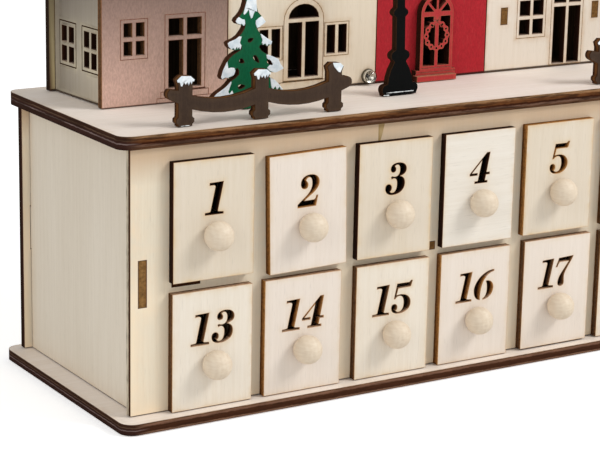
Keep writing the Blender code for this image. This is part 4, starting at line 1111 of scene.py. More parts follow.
# %% Scored lines
SCORE_WIDTH = 0.27 * MM
SCORE_DEPTH = 0.3 * MM


def score_cutter(lines, near, axis="Y", width=SCORE_WIDTH):
    """Boxes along lines of (u, v) points, sunk into the sheet's face at near."""
    bm = bmesh.new()
    for line in lines:
        for first, last in zip(line, line[1:]):
            along = Vector(last) - Vector(first)
            middle = (Vector(last) + Vector(first)) / 2
            size = Matrix.Diagonal((along.length + 0.6 * width, 2 * SCORE_DEPTH,
                                    width, 1.0))
            turned = Matrix.Rotation(-math.atan2(along.y, along.x), 4, "Y")
            place = Matrix.Translation((middle.x, near, middle.y))
            made = bmesh.ops.create_cube(bm, size=1.0)
            bmesh.ops.transform(bm, verts=made["verts"], matrix=place @ turned @ size)
    if axis == "X":
        for vert in bm.verts:
            vert.co = (vert.co.y, vert.co.x, vert.co.z)
        bmesh.ops.reverse_faces(bm, faces=bm.faces)
    return bm


def carved(bm, cutter, operation="DIFFERENCE"):
    """Mesh cut by, or kept only inside, a cutter."""
    piece = piece_from(bm, "carving")
    tool = piece_from(cutter, "cutter")
    boolean = piece.modifiers.new("carve", "BOOLEAN")
    boolean.operation = operation
    boolean.solver = "EXACT"
    boolean.use_self = True
    boolean.object = tool
    bpy.context.view_layer.update()
    graph = bpy.context.evaluated_depsgraph_get()
    mesh = bpy.data.meshes.new_from_object(piece.evaluated_get(graph))
    for spent in (piece, tool):
        data = spent.data
        bpy.data.objects.remove(spent, do_unlink=True)
        bpy.data.meshes.remove(data)
    result = bmesh.new()
    result.from_mesh(mesh)
    bpy.data.meshes.remove(mesh)
    bmesh.ops.remove_doubles(result, verts=result.verts, dist=0.000004)
    bmesh.ops.triangulate(result, faces=result.faces)
    for face in result.faces:
        face.material_index = 0
    result.normal_update()
    return result


def scored(bm, lines, near, axis="Y", width=SCORE_WIDTH):
    """Sheet with its lines scored; the groove's own faces are marked."""
    if not lines:
        return bm
    way = AXES[axis]
    result = carved(bm, score_cutter(lines, near, axis, width))
    for face in result.faces:
        depths = [abs(vert.co[way] - near) for vert in face.verts]
        flat = max(depths) < 0.02 * MM
        if max(depths) < 1.1 * SCORE_DEPTH and not flat:
            face.material_index = 2
    return result


# Painted light: a lighter finish for cut faces that look up, such as the bottoms of the
# panes.
LIT_SILL = cut_edge("edge_sill_painted_light", [
    (0.0, (0.52, 0.36, 0.26)), (0.3, (0.43, 0.32, 0.26)),
    (0.45, (0.18, 0.11, 0.08)), (0.7, (0.15, 0.09, 0.06)),
    (1.0, (0.09, 0.045, 0.03))])


print("scoring ready")

# %% [markdown]
# ## Window frames
# The frames are drawn from the windows' own sizes, so that a frame always fits its panes.
# Arched and round windows get an outline of short straight scores.

# %% Window frames
ARCH_RISE = 0.46
SILL_GAP, SILL_PITCH, SILL_HEIGHT, SILL_REACH = 0.5, 2.3, 2.2, 1.6
LOWEST_SCORE = 0.7


def rect_line(left, right, low, high):
    return [(left, low), (right, low), (right, high), (left, high), (left, low)]


def frame_lines(kind, centre, low, width, height, margin=1.3, sills=0, bottom=None):
    """Scored frame round a window, in millimetres, with so many sills under it."""
    left, right = centre - width / 2 - margin, centre + width / 2 + margin
    high = low + height
    under = low - margin if bottom is None else bottom
    lines = []
    if kind == "arched":
        rise = ARCH_RISE * width
        spring = high - rise
        loop = [(left, under)]
        for step in range(13):
            angle = math.pi - math.pi * step / 12
            loop.append((centre + (width / 2 + margin) * math.cos(angle),
                         spring + (rise + margin) * math.sin(angle)))
        loop += [(right, under), (left, under)]
        lines.append(loop)
    elif kind == "round":
        reach = width / 2 + margin
        lines.append([(centre + reach * math.cos(math.tau * step / 20),
                       low + width / 2 + reach * math.sin(math.tau * step / 20))
                      for step in range(21)])
    else:
        lines.append(rect_line(left, right, under, high + margin))
    for step in range(sills):
        top = under - SILL_GAP - SILL_PITCH * step
        out = SILL_REACH * (step + 1)
        below = max(LOWEST_SCORE, top - SILL_HEIGHT)
        lines.append([(left - out, below), (left - out, top), (right + out, top),
                      (right + out, below)])
    return lines


print("corners of a square frame:", len(frame_lines("cross", 0.0, 0.0, 10.0, 10.0)[0]) - 1)

# %% [markdown]
# ## House fronts
# The eight fronts are painted mauve or red or left bare. One flat colour would look like
# plastic, so the paint goes over the veneer finish and keeps its relief. Painted shade
# darkens the mauve fronts towards the roof and the red ones a little near the top, a
# painted shadow line runs along the foot of every front, and their backs carry the painted
# shade of the unlit rooms.

# %% House fronts
def both(kind, offset, *sizes):
    """The same window left and right of the middle."""
    return (kind, -offset, *sizes), (kind, offset, *sizes)


# left end, width, finish, windows: kind, place from the middle, low, width, height and,
# where they differ from the usual, frame margin, sills, foot of the frame
STREET_HOUSES = [
    (11.2, 51.4, "mauve", [
        ("cross", -12.7, 18.6, 8.3, 11.8),
        ("french", 8.0, 5.6, 13.5, 25.4, 1.5, 2, 4.9),
        *both("cross", 11.0, 43.0, 8.3, 10.0),
        ("round", 0.0, 61.0, 8.0, 8.0)]),
    (62.6, 65.4, "bare", [
        ("arched", 0.0, 5.3, 13.2, 27.6, 2.1, 1, 4.2),
        *both("pair", -14.7, 13.4, 8.8, 10.8, 1.0),
        *both("cross", 15.0, 44.0, 9.0, 12.0),
        ("arched", 0.0, 44.0, 9.0, 14.0),
        ("round", 0.0, 68.0, 9.0, 9.0)]),
    (128.0, 51.9, "red", [
        *both("cross", 12.0, 42.0, 8.3, 11.0),
        ("arched", 0.0, 59.0, 8.0, 11.0, 1.2)]),
    (179.9, 63.7, "pale", [
        ("cross", -9.4, 14.1, 11.8, 13.7),
        ("french", 8.7, 1.4, 13.6, 31.0, 1.3, 0, 0.9),
        *both("cross", 15.0, 41.0, 9.0, 10.0),
        ("round", 0.0, 57.0, 9.0, 9.0)]),
    (243.6, 56.0, "mauve", [
        ("french", -11.0, 5.6, 13.5, 25.4, 1.5, 2, 4.9),
        ("cross", 12.0, 18.6, 8.3, 11.8),
        *both("cross", 12.0, 44.0, 8.3, 11.0),
        ("arched", 0.0, 62.0, 8.0, 11.0, 1.2)]),
    (299.6, 60.0, "bare", [
        ("arched", 0.0, 5.3, 13.2, 28.2, 2.1, 1, 4.2),
        *both("pair", -15.0, 13.4, 8.8, 10.8, 1.0),
        *both("cross", 14.0, 42.0, 9.0, 10.0),
        ("round", 0.0, 59.0, 9.0, 9.0)]),
    (359.6, 52.0, "red", [
        ("arched", 0.0, 4.0, 13.2, 28.2, 1.6, 0, 0.9),
        *both("pair", -16.0, 13.4, 8.0, 10.8, 1.0),
        *both("cross", 11.0, 44.0, 8.3, 11.0),
        ("round", 0.0, 65.0, 8.0, 8.0)]),
    (411.6, 57.3, "bare", [
        ("cross", -11.0, 14.1, 11.8, 13.7),
        ("french", 9.0, 1.4, 14.0, 31.5, 1.3, 0, 0.9),
        *both("cross", 13.0, 41.0, 8.3, 10.0),
        ("round", 0.0, 56.0, 8.0, 8.0)]),
]
# Painted shade: the bands darken the walls towards the roof and draw a shadow line at the
# foot.
MAUVE_STAIN = veneer("mauve_stain", (0.7, 0.62, 0.5), (0.56, 0.47, 0.35), "Z",
                     paint=(0.6, 0.385, 0.315), cover=0.96, stain=0.2,
                     rim=(0.2, 0.07, 0.04), roughness=0.7, gloss=0.15,
                     bands=[eaves(8, 40, 0.66), foot(0.75)])
RED_STAIN = veneer("red_stain", (0.6, 0.35, 0.25), (0.45, 0.22, 0.15), "Z",
                   paint=(0.4, 0.016, 0.025), cover=0.99, stain=0.03,
                   rim=(0.12, 0.014, 0.012), roughness=0.55, gloss=0.08,
                   bands=[eaves(60, 90, 0.2), foot(1.15)])
BARE_WALL = veneer("wall_veneer", (0.79, 0.69, 0.55), (0.735, 0.63, 0.485), "Z",
                   stain=0.7, rim=(0.18, 0.085, 0.03), bands=[foot(1.15)])
PALE_WALL = veneer("wall_pale", (0.77, 0.685, 0.585), (0.72, 0.63, 0.52), "Z",
                   stain=0.7, rim=(0.18, 0.085, 0.03), bands=[foot(1.15)])
WALL_FINISH = {"mauve": MAUVE_STAIN, "red": RED_STAIN, "bare": BARE_WALL, "pale": PALE_WALL}
SCORE_RED = cut_edge("score_red_brown", [(0.0, (0.52, 0.24, 0.16)),
                                         (1.0, (0.46, 0.2, 0.14))])
SCORE_FINISH = {"mauve": SCORE_RED, "red": SCORE_RED, "bare": ENGRAVED, "pale": ENGRAVED}

for index, (left, width, paint, windows) in enumerate(STREET_HOUSES):
    label = "house_front_%d" % (index + 1)
    lines = []
    for kind, offset, *sizes in windows:
        lines += frame_lines(kind, left + width / 2 + offset, *sizes)
    placed = [[street(u, v) for u, v in line] for line in lines]
    bm = scored(copy_of(label), placed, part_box(label)[0][1])
    wall = sheet_object(label + "_dressed", bm, "Y",
                        [WALL_FINISH[paint], TOASTED if index == 0 else CHARRED,
                         SCORE_FINISH[paint], ROOM_SHADE, LIT_SILL],
                        (0.17 + 0.23 * index) % 1.0, rim=0.22, pitch=1.7, reach=0.8,
                        reverse=1)
    stands_for(wall, label)
    print(wall.name, len(lines), "scored lines")

# %% [markdown]
# ## Street back
# The rooms behind the panes get no light, so their walls are painted almost black as shade.
# The street's back panel is bare outside and painted dark inside; only two strips of it
# beside the end walls face the street, and they are painted darker as shade, most towards
# the top, with a little smoke beside the cuts.

# %% Street back
# Painted shade: a darker copy of the bare wall for the strips beside the end walls, darkest
# towards the top, with a painted shadow line at the foot.
SHADED_STRIP = veneer("strip_painted_shade", (0.6, 0.5, 0.28), (0.5, 0.4, 0.21), "Z",
                    stain=0.2, bands=[eaves(6, 44, 0.8), foot(1.15)])
END_EDGE = cut_edge("edge_end", [
    (0.0, (0.22, 0.17, 0.095)), (0.44, (0.2, 0.15, 0.08)),
    (0.52, (0.026, 0.014, 0.007)), (1.0, (0.018, 0.009, 0.005))], (900, 900, 200))
bm = copy_of("street_back")
bm.normal_update()
outer = (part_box("end_wall_left")[0][0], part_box("end_wall_right")[1][0])
for across in outer:
    slit(bm, (across, 0, 0), (1, 0, 0))
room_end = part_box("street_back")[1][1] - 0.9 * PLY
for face in bm.faces:
    middle = face.calc_center_median()
    outside = not outer[0] <= middle.x <= outer[1]
    if middle.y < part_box("house_front_1")[0][1] + 0.6 * MM and face.normal.y < -0.9:
        face.material_index = 3
    elif outside and abs(face.normal.x) > 0.9:
        face.material_index = 6
    elif middle.y < room_end:
        face.material_index = 5 if outside and face.normal.y < -0.9 else 2
street_panel = sheet_object("street_back_dressed", bm, "Y",
                            [BARE_WALL, CHARRED, ROOM_SHADE, TAB_GOLD, CHARRED, SHADED_STRIP,
                             END_EDGE], 0.43, rim=0.25, pitch=4.0, reach=1.2)
stands_for(street_panel, "street_back")
print(street_panel.name, len(street_panel.data.polygons), "faces")

# %% [markdown]
# ## End walls
# The end walls lean out a little towards the back. Scoring a leaning wall would need tilted
# boxes, so the wall is sheared upright first, scored and sheared back.

# %% End walls
WALL_START, WALL_END = (corner[1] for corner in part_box("end_wall_left"))
# Painted shade: darker towards the top under the roof and towards the back, with a painted
# shadow line at the foot.
END_WALL = veneer("end_wall_veneer", (0.51, 0.45, 0.36), (0.45, 0.39, 0.3), "Z",
                  stain=1.0, rim=(0.15, 0.07, 0.025), halo_tint=(0.69, 0.6, 0.415),
                  bands=[eaves(14, 46, 0.66),
                         ("Y", WALL_START + 6 * MM, WALL_END, 0.48, SHADE_TINT, False),
                         foot(1.15)])
FRAME_LINE = cut_edge("frame_line", [(0.0, (0.06, 0.025, 0.009)),
                                     (1.0, (0.05, 0.02, 0.008))])
FRAME_WIDTH = 0.5 * MM
END_WINDOWS = (56.9, 73.3)
END_FRAME = (6.0, 11.2, 27.5)


def sheared(bm, amount, start):
    """Points shifted along X in proportion to how far back they stand."""
    for vert in bm.verts:
        vert.co.x += amount * (vert.co.y - start)
    return bm


for label, side in (("end_wall_left", -1), ("end_wall_right", 1)):
    low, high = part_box(label)
    bm = copy_of(label)
    pick = min if side < 0 else max
    front_x = pick(v.co.x for v in bm.verts if v.co.y < low[1] + 0.1 * MM)
    rear_x = pick(v.co.x for v in bm.verts if v.co.y > high[1] - 0.1 * MM)
    lean = (rear_x - front_x) / (high[1] - low[1])
    sheared(bm, -lean, low[1])
    half, bottom, top = END_FRAME
    lines = []
    for middle in END_WINDOWS:
        frame_points = rect_line(middle - half, middle + half, bottom, top)
        lines.append([(CASE_FRONT + y * MM, LID_TOP + z * MM) for y, z in frame_points])
    bm = scored(bm, lines, front_x, "X", FRAME_WIDTH)
    wall = sheet_object(label + "_dressed", sheared(bm, lean, low[1]), "X",
                        [END_WALL, CHARRED, FRAME_LINE, ROOM_SHADE, LIT_SILL], 0.71, rim=0.22,
                        pitch=1.7, reach=1.1, reverse=-side)
    stands_for(wall, label)
    print(wall.name, "leans", round(lean * (high[1] - low[1]) / MM, 2), "mm")

# %% [markdown]
# ## Roofs
# Each roof is a pair of boards glued at the ridge, white with a blue cast on top. The paint
# is dabbed on thickly for snow, so it is rough, and the scorched edges stay bare; the
# undersides and lower edges carry the near-black painted shade of the rooms.

# %% Roofs
SNOW = speckled("snow_paint", 0.75, 420,
                [(0.35, (0.6, 0.68, 0.73)), (0.62, (0.83, 0.87, 0.89))],
                4.0, 0.6, bump=(0.6, 0.0003))
for index in range(1, 9):
    label = "roof_%d" % index
    bm = copy_of(label)
    bm.normal_update()
    for face in bm.faces:
        if face.normal.z > 0.2:
            face.material_index = 2
    roof = sheet_object(label + "_dressed", bm, "Y", [CHARRED, ROOM_SHADE, SNOW, CHARRED],
                        (0.11 * index) % 1.0, rim=0.0, pitch=0.0)
    stands_for(roof, label)
print("roofs:", 8)

# %% [markdown]
# ## Snow on cut pieces
# Snow lies on the front of the fences and trees as thick white paint that runs down in
# drips. Each patch is an outline; the piece's own shape, moved forward by the thickness of
# the paint, clips it, so the snow follows every notch and hole of the wood. Its front is
# then inset and raised, which rounds the rim.

# %% Snow patches
PAINT_DEPTH = 0.16 * MM


def snow_on(label, patches):
    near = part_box(label)[0][1]
    plates = joined([board([patch], near - 1.0 * MM, 1.02 * MM) for patch in patches])
    base = copy_of(label)
    bmesh.ops.translate(base, verts=base.verts, vec=(0, -PAINT_DEPTH, 0))
    bm = carved(base, plates, "INTERSECT")
    fronts = [face for face in bm.faces if face.normal.y < -0.9]
    bmesh.ops.inset_region(bm, faces=fronts, thickness=0.14 * MM, depth=0.1 * MM,
                           use_even_offset=True, use_boundary=True)
    bmesh.ops.triangulate(bm, faces=bm.faces)
    snow = plain_object("snow_on_" + label, bm, [SNOW], 0.37)
    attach(snow, "case")
    return snow


print("snow routine ready")

# %% [markdown]
# ## Fences
# Three fences of round-headed posts and hanging rails, painted umber. Only the front is
# painted; the cut walls keep a rusty scorch. Snow sits on each post, on the last one only
# in part.

# %% Fences
FENCE_WOOD = veneer("fence_umber", (0.17, 0.105, 0.068), (0.07, 0.042, 0.027), "Z",
                    paint=(0.038, 0.023, 0.016), cover=0.88, stain=0.1,
                    rim=(0.03, 0.014, 0.009), roughness=0.6, gloss=0.08)
RUSTY = cut_edge("edge_rusty", [
    (0.0, (0.045, 0.019, 0.009)), (0.25, (0.15, 0.064, 0.02)),
    (0.55, (0.125, 0.052, 0.017)), (0.72, (0.04, 0.016, 0.008)),
    (1.0, (0.07, 0.03, 0.012))], (300, 300, 160))
POST_PLACES = (7.0, 37.4, 67.8)
DRIPS = [(-4.6, 20.5), (4.6, 20.5), (4.6, 16.8), (3.5, 15.6), (2.6, 15.9), (2.2, 14.9),
         (1.7, 15.9), (1.1, 14.5), (0.5, 15.7), (-0.1, 14.9), (-0.8, 15.8), (-1.4, 14.4),
         (-1.9, 14.5), (-2.3, 15.8), (-3.2, 15.9), (-4.6, 16.9)]
HALF_DRIPS = [(-1.4, 20.5), (4.6, 20.5), (4.6, 16.6), (3.4, 16.9), (2.6, 15.6), (1.9, 14.3),
              (1.2, 14.5), (0.4, 15.3), (-0.6, 16.4), (-1.2, 17.6)]

for index in (1, 2, 3):
    label = "fence_%d" % index
    fence = sheet_object(label + "_dressed", copy_of(label), "Y", [FENCE_WOOD, RUSTY],
                         (0.31 * index) % 1.0, rim=0.2, reach=0.5)
    stands_for(fence, label)
    start = (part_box(label)[0][0] - CASE_LEFT) / MM
    patches = []
    for place, shape in zip(POST_PLACES, (DRIPS, DRIPS, HALF_DRIPS)):
        patches.append([street(start + place + u, v) for u, v in shape])
    snow = snow_on(label, patches)
    print(fence.name, "starts at", round(start, 1), "with", len(snow.data.polygons),
          "faces of snow")

# %% [markdown]
# ## Fir trees
# The trees are painted a deep fir green. Snow hangs on the tips of the branches and covers
# the top; the patches are drawn in millimetres from the trunk, and turned over for the
# second tree, which is the same shape the other way round.

# %% Trees
TREE_GREEN = veneer("fir_green", (0.1, 0.2, 0.08), (0.05, 0.11, 0.04), "Z",
                    paint=(0.002, 0.1, 0.04), cover=0.985, stain=0.03,
                    rim=(0.03, 0.018, 0.01), roughness=0.55, gloss=0.08)
TREE_EDGE = cut_edge("edge_tree", [
    (0.0, (0.13, 0.045, 0.025)), (0.2, (0.075, 0.028, 0.014)),
    (0.6, (0.06, 0.024, 0.012)), (1.0, (0.09, 0.04, 0.018))])
TREE_SNOW = [
    [(-9.0, 41.5), (-9.0, 62.0), (9.0, 62.0), (9.0, 41.5), (2.4, 39.4), (2.6, 36.4),
     (2.8, 35.1), (1.8, 35.4), (1.3, 34.4), (0.9, 33.2), (0.3, 32.9), (-0.3, 34.5),
     (-0.7, 36.3), (-1.6, 35.1), (-2.5, 34.4), (-2.8, 34.9), (-1.4, 39.7)],
    [(-8.0, 31.4), (-6.0, 34.5), (-3.3, 32.9), (-2.3, 32.7), (-2.1, 31.3), (-2.6, 30.2),
     (-3.0, 30.8), (-3.6, 31.3), (-4.0, 31.0), (-5.1, 31.4)],
    [(2.3, 32.0), (3.7, 33.0), (6.5, 34.3), (8.4, 31.1), (6.4, 29.1), (4.4, 30.1),
     (3.6, 29.0), (2.9, 29.3), (2.3, 30.8)],
    [(-10.5, 24.7), (-6.1, 27.0), (-3.5, 26.7), (-4.2, 24.5), (-3.5, 23.5), (-3.9, 21.9),
     (-4.5, 23.0), (-5.1, 22.3), (-5.5, 23.1), (-6.1, 22.1), (-7.0, 22.9), (-7.4, 22.2),
     (-8.5, 23.0)],
    [(4.3, 27.0), (5.9, 27.5), (11.2, 24.1), (9.6, 22.4), (7.6, 23.2), (7.2, 22.4),
     (6.3, 23.5), (5.4, 23.1), (4.9, 23.9), (5.2, 24.9)],
    [(-9.2, 18.5), (-8.8, 15.6), (-7.5, 15.8), (-6.3, 15.6), (-5.9, 14.6), (-6.3, 13.1),
     (-7.4, 12.7), (-8.3, 12.5), (-8.9, 12.2), (-10.1, 12.4), (-12.5, 11.2), (-12.5, 15.0),
     (-11.0, 17.5)],
    [(6.9, 19.3), (9.6, 19.8), (13.5, 18.4), (14.2, 15.5), (15.2, 12.9), (11.8, 12.6),
     (10.3, 12.6), (8.2, 13.5), (7.3, 14.6), (8.2, 15.4), (9.7, 15.8), (8.8, 16.9),
     (7.2, 18.0)],
    [(-7.7, 10.9), (-7.4, 10.4), (-8.3, 8.1), (-8.7, 7.1), (-8.2, 6.3), (-7.1, 7.5),
     (-6.6, 6.4), (-6.8, 5.4), (-15.5, 4.4), (-15.0, 7.7), (-11.8, 9.6), (-10.0, 10.5)],
    [(8.6, 11.6), (12.0, 11.4), (16.0, 8.3), (15.5, 4.5), (13.4, 5.4), (12.6, 7.4),
     (11.6, 6.2), (10.8, 7.6), (9.9, 6.6), (9.2, 7.3)],
]
TREES = {"tree_1": (59.0, 1), "tree_2": (420.4, -1)}
for label, (centre, way) in TREES.items():
    tree_piece = sheet_object(label + "_dressed", copy_of(label), "Y",
                              [TREE_GREEN, TREE_EDGE], 0.5 + 0.2 * way, rim=0.22, reach=0.5)
    stands_for(tree_piece, label)
    patches = [[street(centre + way * u, v) for u, v in patch] for patch in TREE_SNOW]
    snow = snow_on(label, patches)
    print(tree_piece.name, "with", len(snow.data.polygons), "faces of snow")

# %% [markdown]
# ## Lamp posts
# The posts are black with a hint of brown where the laser cut them. White glue has been
# squeezed out along the front of the foot and dried there as a thin uneven bead.

# %% Lamp posts
LAMP_BLACK = veneer("lamp_black", (0.04, 0.034, 0.03), (0.02, 0.018, 0.016), "Z",
                    paint=(0.0022, 0.0028, 0.0028), cover=0.995, stain=0.0,
                    rim=(0.01, 0.006, 0.004), roughness=0.5, gloss=0.05)
LAMP_EDGE = cut_edge("edge_lamp", [
    (0.0, (0.06, 0.026, 0.01)), (0.3, (0.026, 0.011, 0.006)),
    (1.0, (0.034, 0.014, 0.006))])
GLUE = speckled("dried_glue", 0.35, 900,
                [(0.35, (0.42, 0.46, 0.47)), (0.65, (0.78, 0.82, 0.83))])
BEAD_CUTS = 14


def glue_bead(name, start, length, y, z, radius):
    """Uneven half-round bead along X."""
    bm = bmesh.new()
    bmesh.ops.create_cone(bm, cap_ends=True, segments=10, radius1=radius, radius2=radius,
                          depth=length)
    bmesh.ops.rotate(bm, verts=bm.verts, matrix=Matrix.Rotation(math.pi / 2, 3, "Y"))
    for step in range(1, BEAD_CUTS):
        slit(bm, (length * (step / BEAD_CUTS - 0.5), 0, 0), (1, 0, 0))
    for vert in bm.verts:
        swell = 1.0 + 0.35 * math.sin(vert.co.x * 2600) + 0.2 * math.sin(vert.co.x * 6100)
        if abs(vert.co.x) > 0.49 * length:
            swell = 0.3
        vert.co.y *= swell
        vert.co.z *= swell
    bmesh.ops.translate(bm, verts=bm.verts, vec=(start + length / 2, y, z))
    return plain_object(name, bm, [GLUE], 0.2, smooth=True)


for index in (1, 2):
    label = "lamp_post_%d" % index
    lamp_post = sheet_object(label + "_dressed", copy_of(label), "Y",
                             [LAMP_BLACK, LAMP_EDGE], 0.4 * index, rim=0.2, reach=0.4)
    stands_for(lamp_post, label)
    low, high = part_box(label)
    middle = (low[0] + high[0]) / 2
    for name, start, length, height, radius in (("glue_drop_%d", -7.4, 2.6, 0.55, 0.22),
                                                ("glue_%d", -6.2, 12.4, 1.45, 0.17)):
        bead = glue_bead(name % index, middle + start * MM, length * MM, low[1],
                         LID_TOP + height * MM, radius * MM)
        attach(bead, "case")
fence_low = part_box("fence_1")[0]
fleck = glue_bead("glue_3", fence_low[0] + 5.2 * MM, 3.4 * MM, fence_low[1],
                  LID_TOP + 0.5 * MM, 0.13 * MM)
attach(fleck, "case")
print("lamp posts:", 2, "from", round(low[2] / MM, 1), "to", round(high[2] / MM, 1), "mm")

# %% [markdown]
# ## Door layer
# The red arched frame has a fan light, a wreath of pierced beads and two steps. The laser
# left tan scorch on its front rims and nearly black walls; the cut faces that look up are
# painted lighter as lit. Bow and steps are scored.

# %% Door layer
DOOR_RED = veneer("door_red", (0.6, 0.26, 0.18), (0.45, 0.15, 0.1), "Z",
                  paint=(0.43, 0.026, 0.034), cover=0.97, stain=0.22,
                  rim=(0.42, 0.16, 0.08), roughness=0.5, gloss=0.08)
DOOR_EDGE = cut_edge("edge_door", [
    (0.0, (0.26, 0.1, 0.05)), (0.16, (0.06, 0.018, 0.01)),
    (0.6, (0.03, 0.01, 0.006)), (1.0, (0.04, 0.014, 0.008))])
# Painted light: a lighter finish for the door layer's cut faces that look up.
LIT_DOOR_TOP = cut_edge("edge_door_top_painted_light", [
    (0.0, (0.56, 0.25, 0.15)), (0.4, (0.33, 0.09, 0.06)),
    (1.0, (0.2, 0.045, 0.03))])
DOOR_MIDDLE = 153.95
low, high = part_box("door_layer")
plate_front = high[1] - PLY
bow = [[(-1.2, 24.6), (0.0, 23.0), (-2.6, 20.6)], [(1.2, 24.6), (0.0, 23.0), (2.6, 20.6)],
       [(-1.6, 23.4), (1.6, 23.4)]]
sill_lines = [[(-7.0, 4.9), (7.0, 4.9)], [(-8.9, 3.3), (8.9, 3.3)]]
lines = [[street(DOOR_MIDDLE + u, v) for u, v in line] for line in bow + sill_lines]
door = sheet_object("door_layer_dressed", scored(copy_of("door_layer"), lines, plate_front),
                    "Y", [DOOR_RED, DOOR_EDGE, SCORE_RED, ROOM_SHADE, LIT_DOOR_TOP], 0.62, rim=0.16,
                    pitch=1.7, reach=0.35, reverse=1)
stands_for(door, "door_layer")
print(door.name, len(door.data.polygons), "faces")

# %% [markdown]
# ## The clear lamp
# A clear little lamp shines from beside the red house. It is a bright ring that grips the
# wall and a domed lens over a cone reflector, all turned shapes spun about one axis. A
# dark ring between lens and sleeve is a painted shadow line.

# %% Clear lamp
RING_METAL = speckled("bright_ring", 0.22, 2500,
                      [(0.3, (0.42, 0.38, 0.3)), (0.7, (0.72, 0.69, 0.62))],
                      bump=(0.2, 0.00005), inputs={"Metallic": 1.0})
LENS = speckled("clear_lens", 0.04, 1500,
                [(0.3, (0.9, 0.92, 0.93)), (0.7, (0.98, 0.98, 0.98))], 1.0, gloss=0.5,
                bump=(0.15, 0.00005), inputs={"Transmission Weight": 1.0, "IOR": 1.49})
BODY_CREAM = speckled("body_cream", 0.25, 1200, [(0.35, (0.56, 0.5, 0.4)),
                                                 (0.65, (0.9, 0.85, 0.72))], gloss=0.5)
# Dark olive for the flange and for the ring that paints the shadow line between lens and
# sleeve.
RIM_OLIVE = speckled("rim_olive", 0.25, 1200, [(0.35, (0.05, 0.038, 0.022)),
                                               (0.65, (0.11, 0.085, 0.045))], gloss=0.5)
low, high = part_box("led_light")
led_axis = Vector(((low[0] + high[0]) / 2, 0, (low[2] + high[2]) / 2))
led_tip = low[1]
wall_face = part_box("house_front_2")[0][1]


def turned(name, profile, finish, y, closed=True):
    """Profile of (radius, along Y from y) in millimetres spun about the lamp's axis."""
    bm = spun([(radius * MM, along * MM) for radius, along in profile], 36, closed)
    bmesh.ops.translate(bm, verts=bm.verts, vec=(led_axis.x, y, led_axis.z))
    piece = plain_object(name, bm, [finish], 0.3, smooth=True)
    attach(piece, "case")
    return piece


dome = [(0.0, 0.0)]
for step in range(1, 8):
    angle = math.pi / 2 * step / 7
    dome.append((2.42 * math.sin(angle), 1.6 - 1.6 * math.cos(angle)))
body_end = (high[1] - low[1]) / MM - 0.05
dome += [(2.45, 1.7), (2.45, body_end), (0.0, body_end)]
lens = turned("lamp_lens", dome, LENS, led_tip, closed=False)
reflector = turned("lamp_reflector", [(0.35, 3.4), (0.55, 3.3), (1.0, 2.9), (1.7, 2.2),
                                      (1.75, 2.3), (1.1, 3.2), (0.6, 3.7), (0.35, 3.7)],
                   RING_METAL, led_tip)
flange = turned("lamp_flange", [(2.5, -0.75), (2.7, -0.85), (2.85, -0.65), (2.85, -0.1),
                                (2.5, -0.1)], RIM_OLIVE, wall_face)
reach = (wall_face - led_tip) / MM
sleeve = turned("lamp_sleeve", [(2.46, 1.95), (2.5, 1.95), (2.5, reach - 0.75),
                                (2.46, reach - 0.75)], BODY_CREAM, led_tip)
# The dark ring between lens and sleeve is a painted shadow line.
edge_ring = turned("lamp_edge", [(2.4, 1.62), (2.5, 1.62), (2.5, 1.93), (2.46, 1.93)],
                   RIM_OLIVE, led_tip)
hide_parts("led_light")
print("clear lamp:", [piece.name for piece in (lens, reflector, flange, sleeve, edge_ring)])

# %% [markdown]
# ## Camera
# The camera stands where the photographer stood, low and to the left, with a long lens.
# Its place comes from lines of the case matched to the picture: placing it by eye would
# leave the drawers' edges a few pixels off.

# %% Camera
camera_data = bpy.data.cameras.new("camera")
camera_data.sensor_width = 36.0
camera_data.lens = 126.1
camera_data.clip_start = 0.02
camera = bpy.data.objects.new("camera", camera_data)
bpy.context.scene.collection.objects.link(camera)
right = Vector((0.8527, -0.5221, 0.0194))
down = Vector((-0.1146, -0.2231, -0.968))
forward = Vector((0.5098, 0.8232, -0.2501))
turn = Matrix((right, -down, -forward)).transposed()
camera.matrix_world = Matrix.Translation((-0.5549, -0.66, 0.2526)) @ turn.to_4x4()
bpy.context.scene.camera = camera
print("camera at", [round(part, 3) for part in camera.location])

# %% [markdown]
# ## Floor
# The floor is white to the camera and keeps the soft shadow of the case, as in a product
# picture. A little glow that only the camera sees lifts it to white.

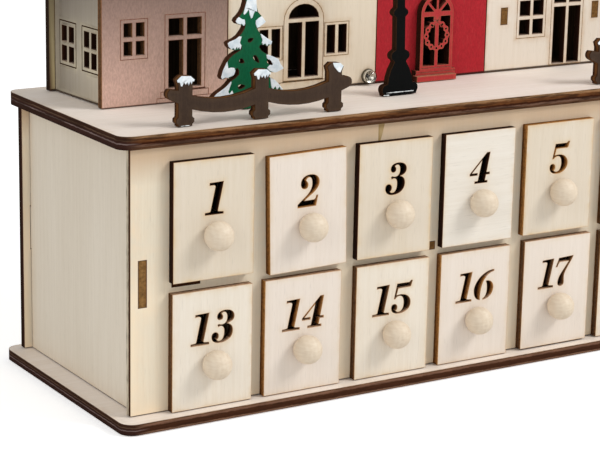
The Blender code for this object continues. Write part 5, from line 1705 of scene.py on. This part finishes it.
# %% Floor
def floor_finish():
    material, tree, shader = new_finish("studio_floor", 0.9)
    shader.inputs["Base Color"].default_value = (0.86, 0.86, 0.86, 1.0)
    glow = tree.nodes.new("ShaderNodeEmission")
    glow.inputs["Color"].default_value = (1.0, 1.0, 1.0, 1.0)
    glow.inputs["Strength"].default_value = 0.45
    none = tree.nodes.new("ShaderNodeEmission")
    none.inputs["Strength"].default_value = 0.0
    rays = tree.nodes.new("ShaderNodeLightPath")
    seen = tree.nodes.new("ShaderNodeMixShader")
    total = tree.nodes.new("ShaderNodeAddShader")
    tree.links.new(rays.outputs["Is Camera Ray"], seen.inputs["Fac"])
    tree.links.new(none.outputs[0], seen.inputs[1])
    tree.links.new(glow.outputs[0], seen.inputs[2])
    tree.links.new(shader.outputs[0], total.inputs[0])
    tree.links.new(seen.outputs[0], total.inputs[1])
    tree.links.new(total.outputs[0], tree.nodes["Material Output"].inputs["Surface"])
    return material


FLOOR_DROP = 0.5 * MM
bm = bmesh.new()
bmesh.ops.create_grid(bm, x_segments=2, y_segments=2, size=4.0)
bmesh.ops.translate(bm, verts=bm.verts, vec=(0, 0, -FLOOR_DROP))
floor = piece_from(bm, "floor", [floor_finish()])
print("floor of", len(floor.data.polygons), "faces")

# %% [markdown]
# ## Light
# Plain soft light as in a catalogue: an even pale sky, one large lamp high on the right
# that models the edges and a weaker one low on the left. The sky looks white to the camera
# and through the clear lamp, while the wood is lit by a dimmer one.

# %% Light
world = bpy.data.worlds.new("studio")
world.use_nodes = True
tree = world.node_tree
sky = tree.nodes["Background"]
sky.inputs["Color"].default_value = (1.0, 1.0, 1.0, 1.0)
sky.inputs["Strength"].default_value = 0.62
plain = tree.nodes.new("ShaderNodeBackground")
plain.inputs["Color"].default_value = (1.0, 1.0, 1.0, 1.0)
plain.inputs["Strength"].default_value = 1.0
rays = tree.nodes.new("ShaderNodeLightPath")
seen = tree.nodes.new("ShaderNodeMixShader")
tree.links.new(calc(tree, "MAXIMUM", rays.outputs["Is Camera Ray"],
                    rays.outputs["Is Transmission Ray"]), seen.inputs["Fac"])
tree.links.new(sky.outputs[0], seen.inputs[1])
tree.links.new(plain.outputs[0], seen.inputs[2])
tree.links.new(seen.outputs[0], tree.nodes["World Output"].inputs["Surface"])
bpy.context.scene.world = world


def lamp(name, place, aim, size, power):
    data = bpy.data.lights.new(name, "AREA")
    data.shape = "SQUARE"
    data.size = size
    data.energy = power
    light = bpy.data.objects.new(name, data)
    light.location = place
    light.rotation_euler = (Vector(aim) - Vector(place)).to_track_quat("-Z", "Y").to_euler()
    bpy.context.scene.collection.objects.link(light)
    return light


lamp("key_light", (0.95, -0.98, 1.3), (-0.1, 0.0, 0.08), 0.7, 20.0)
lamp("fill_light", (-1.4, -0.6, 0.7), (-0.15, 0.0, 0.08), 1.0, 4.6)
bpy.context.scene.view_settings.view_transform = "Standard"
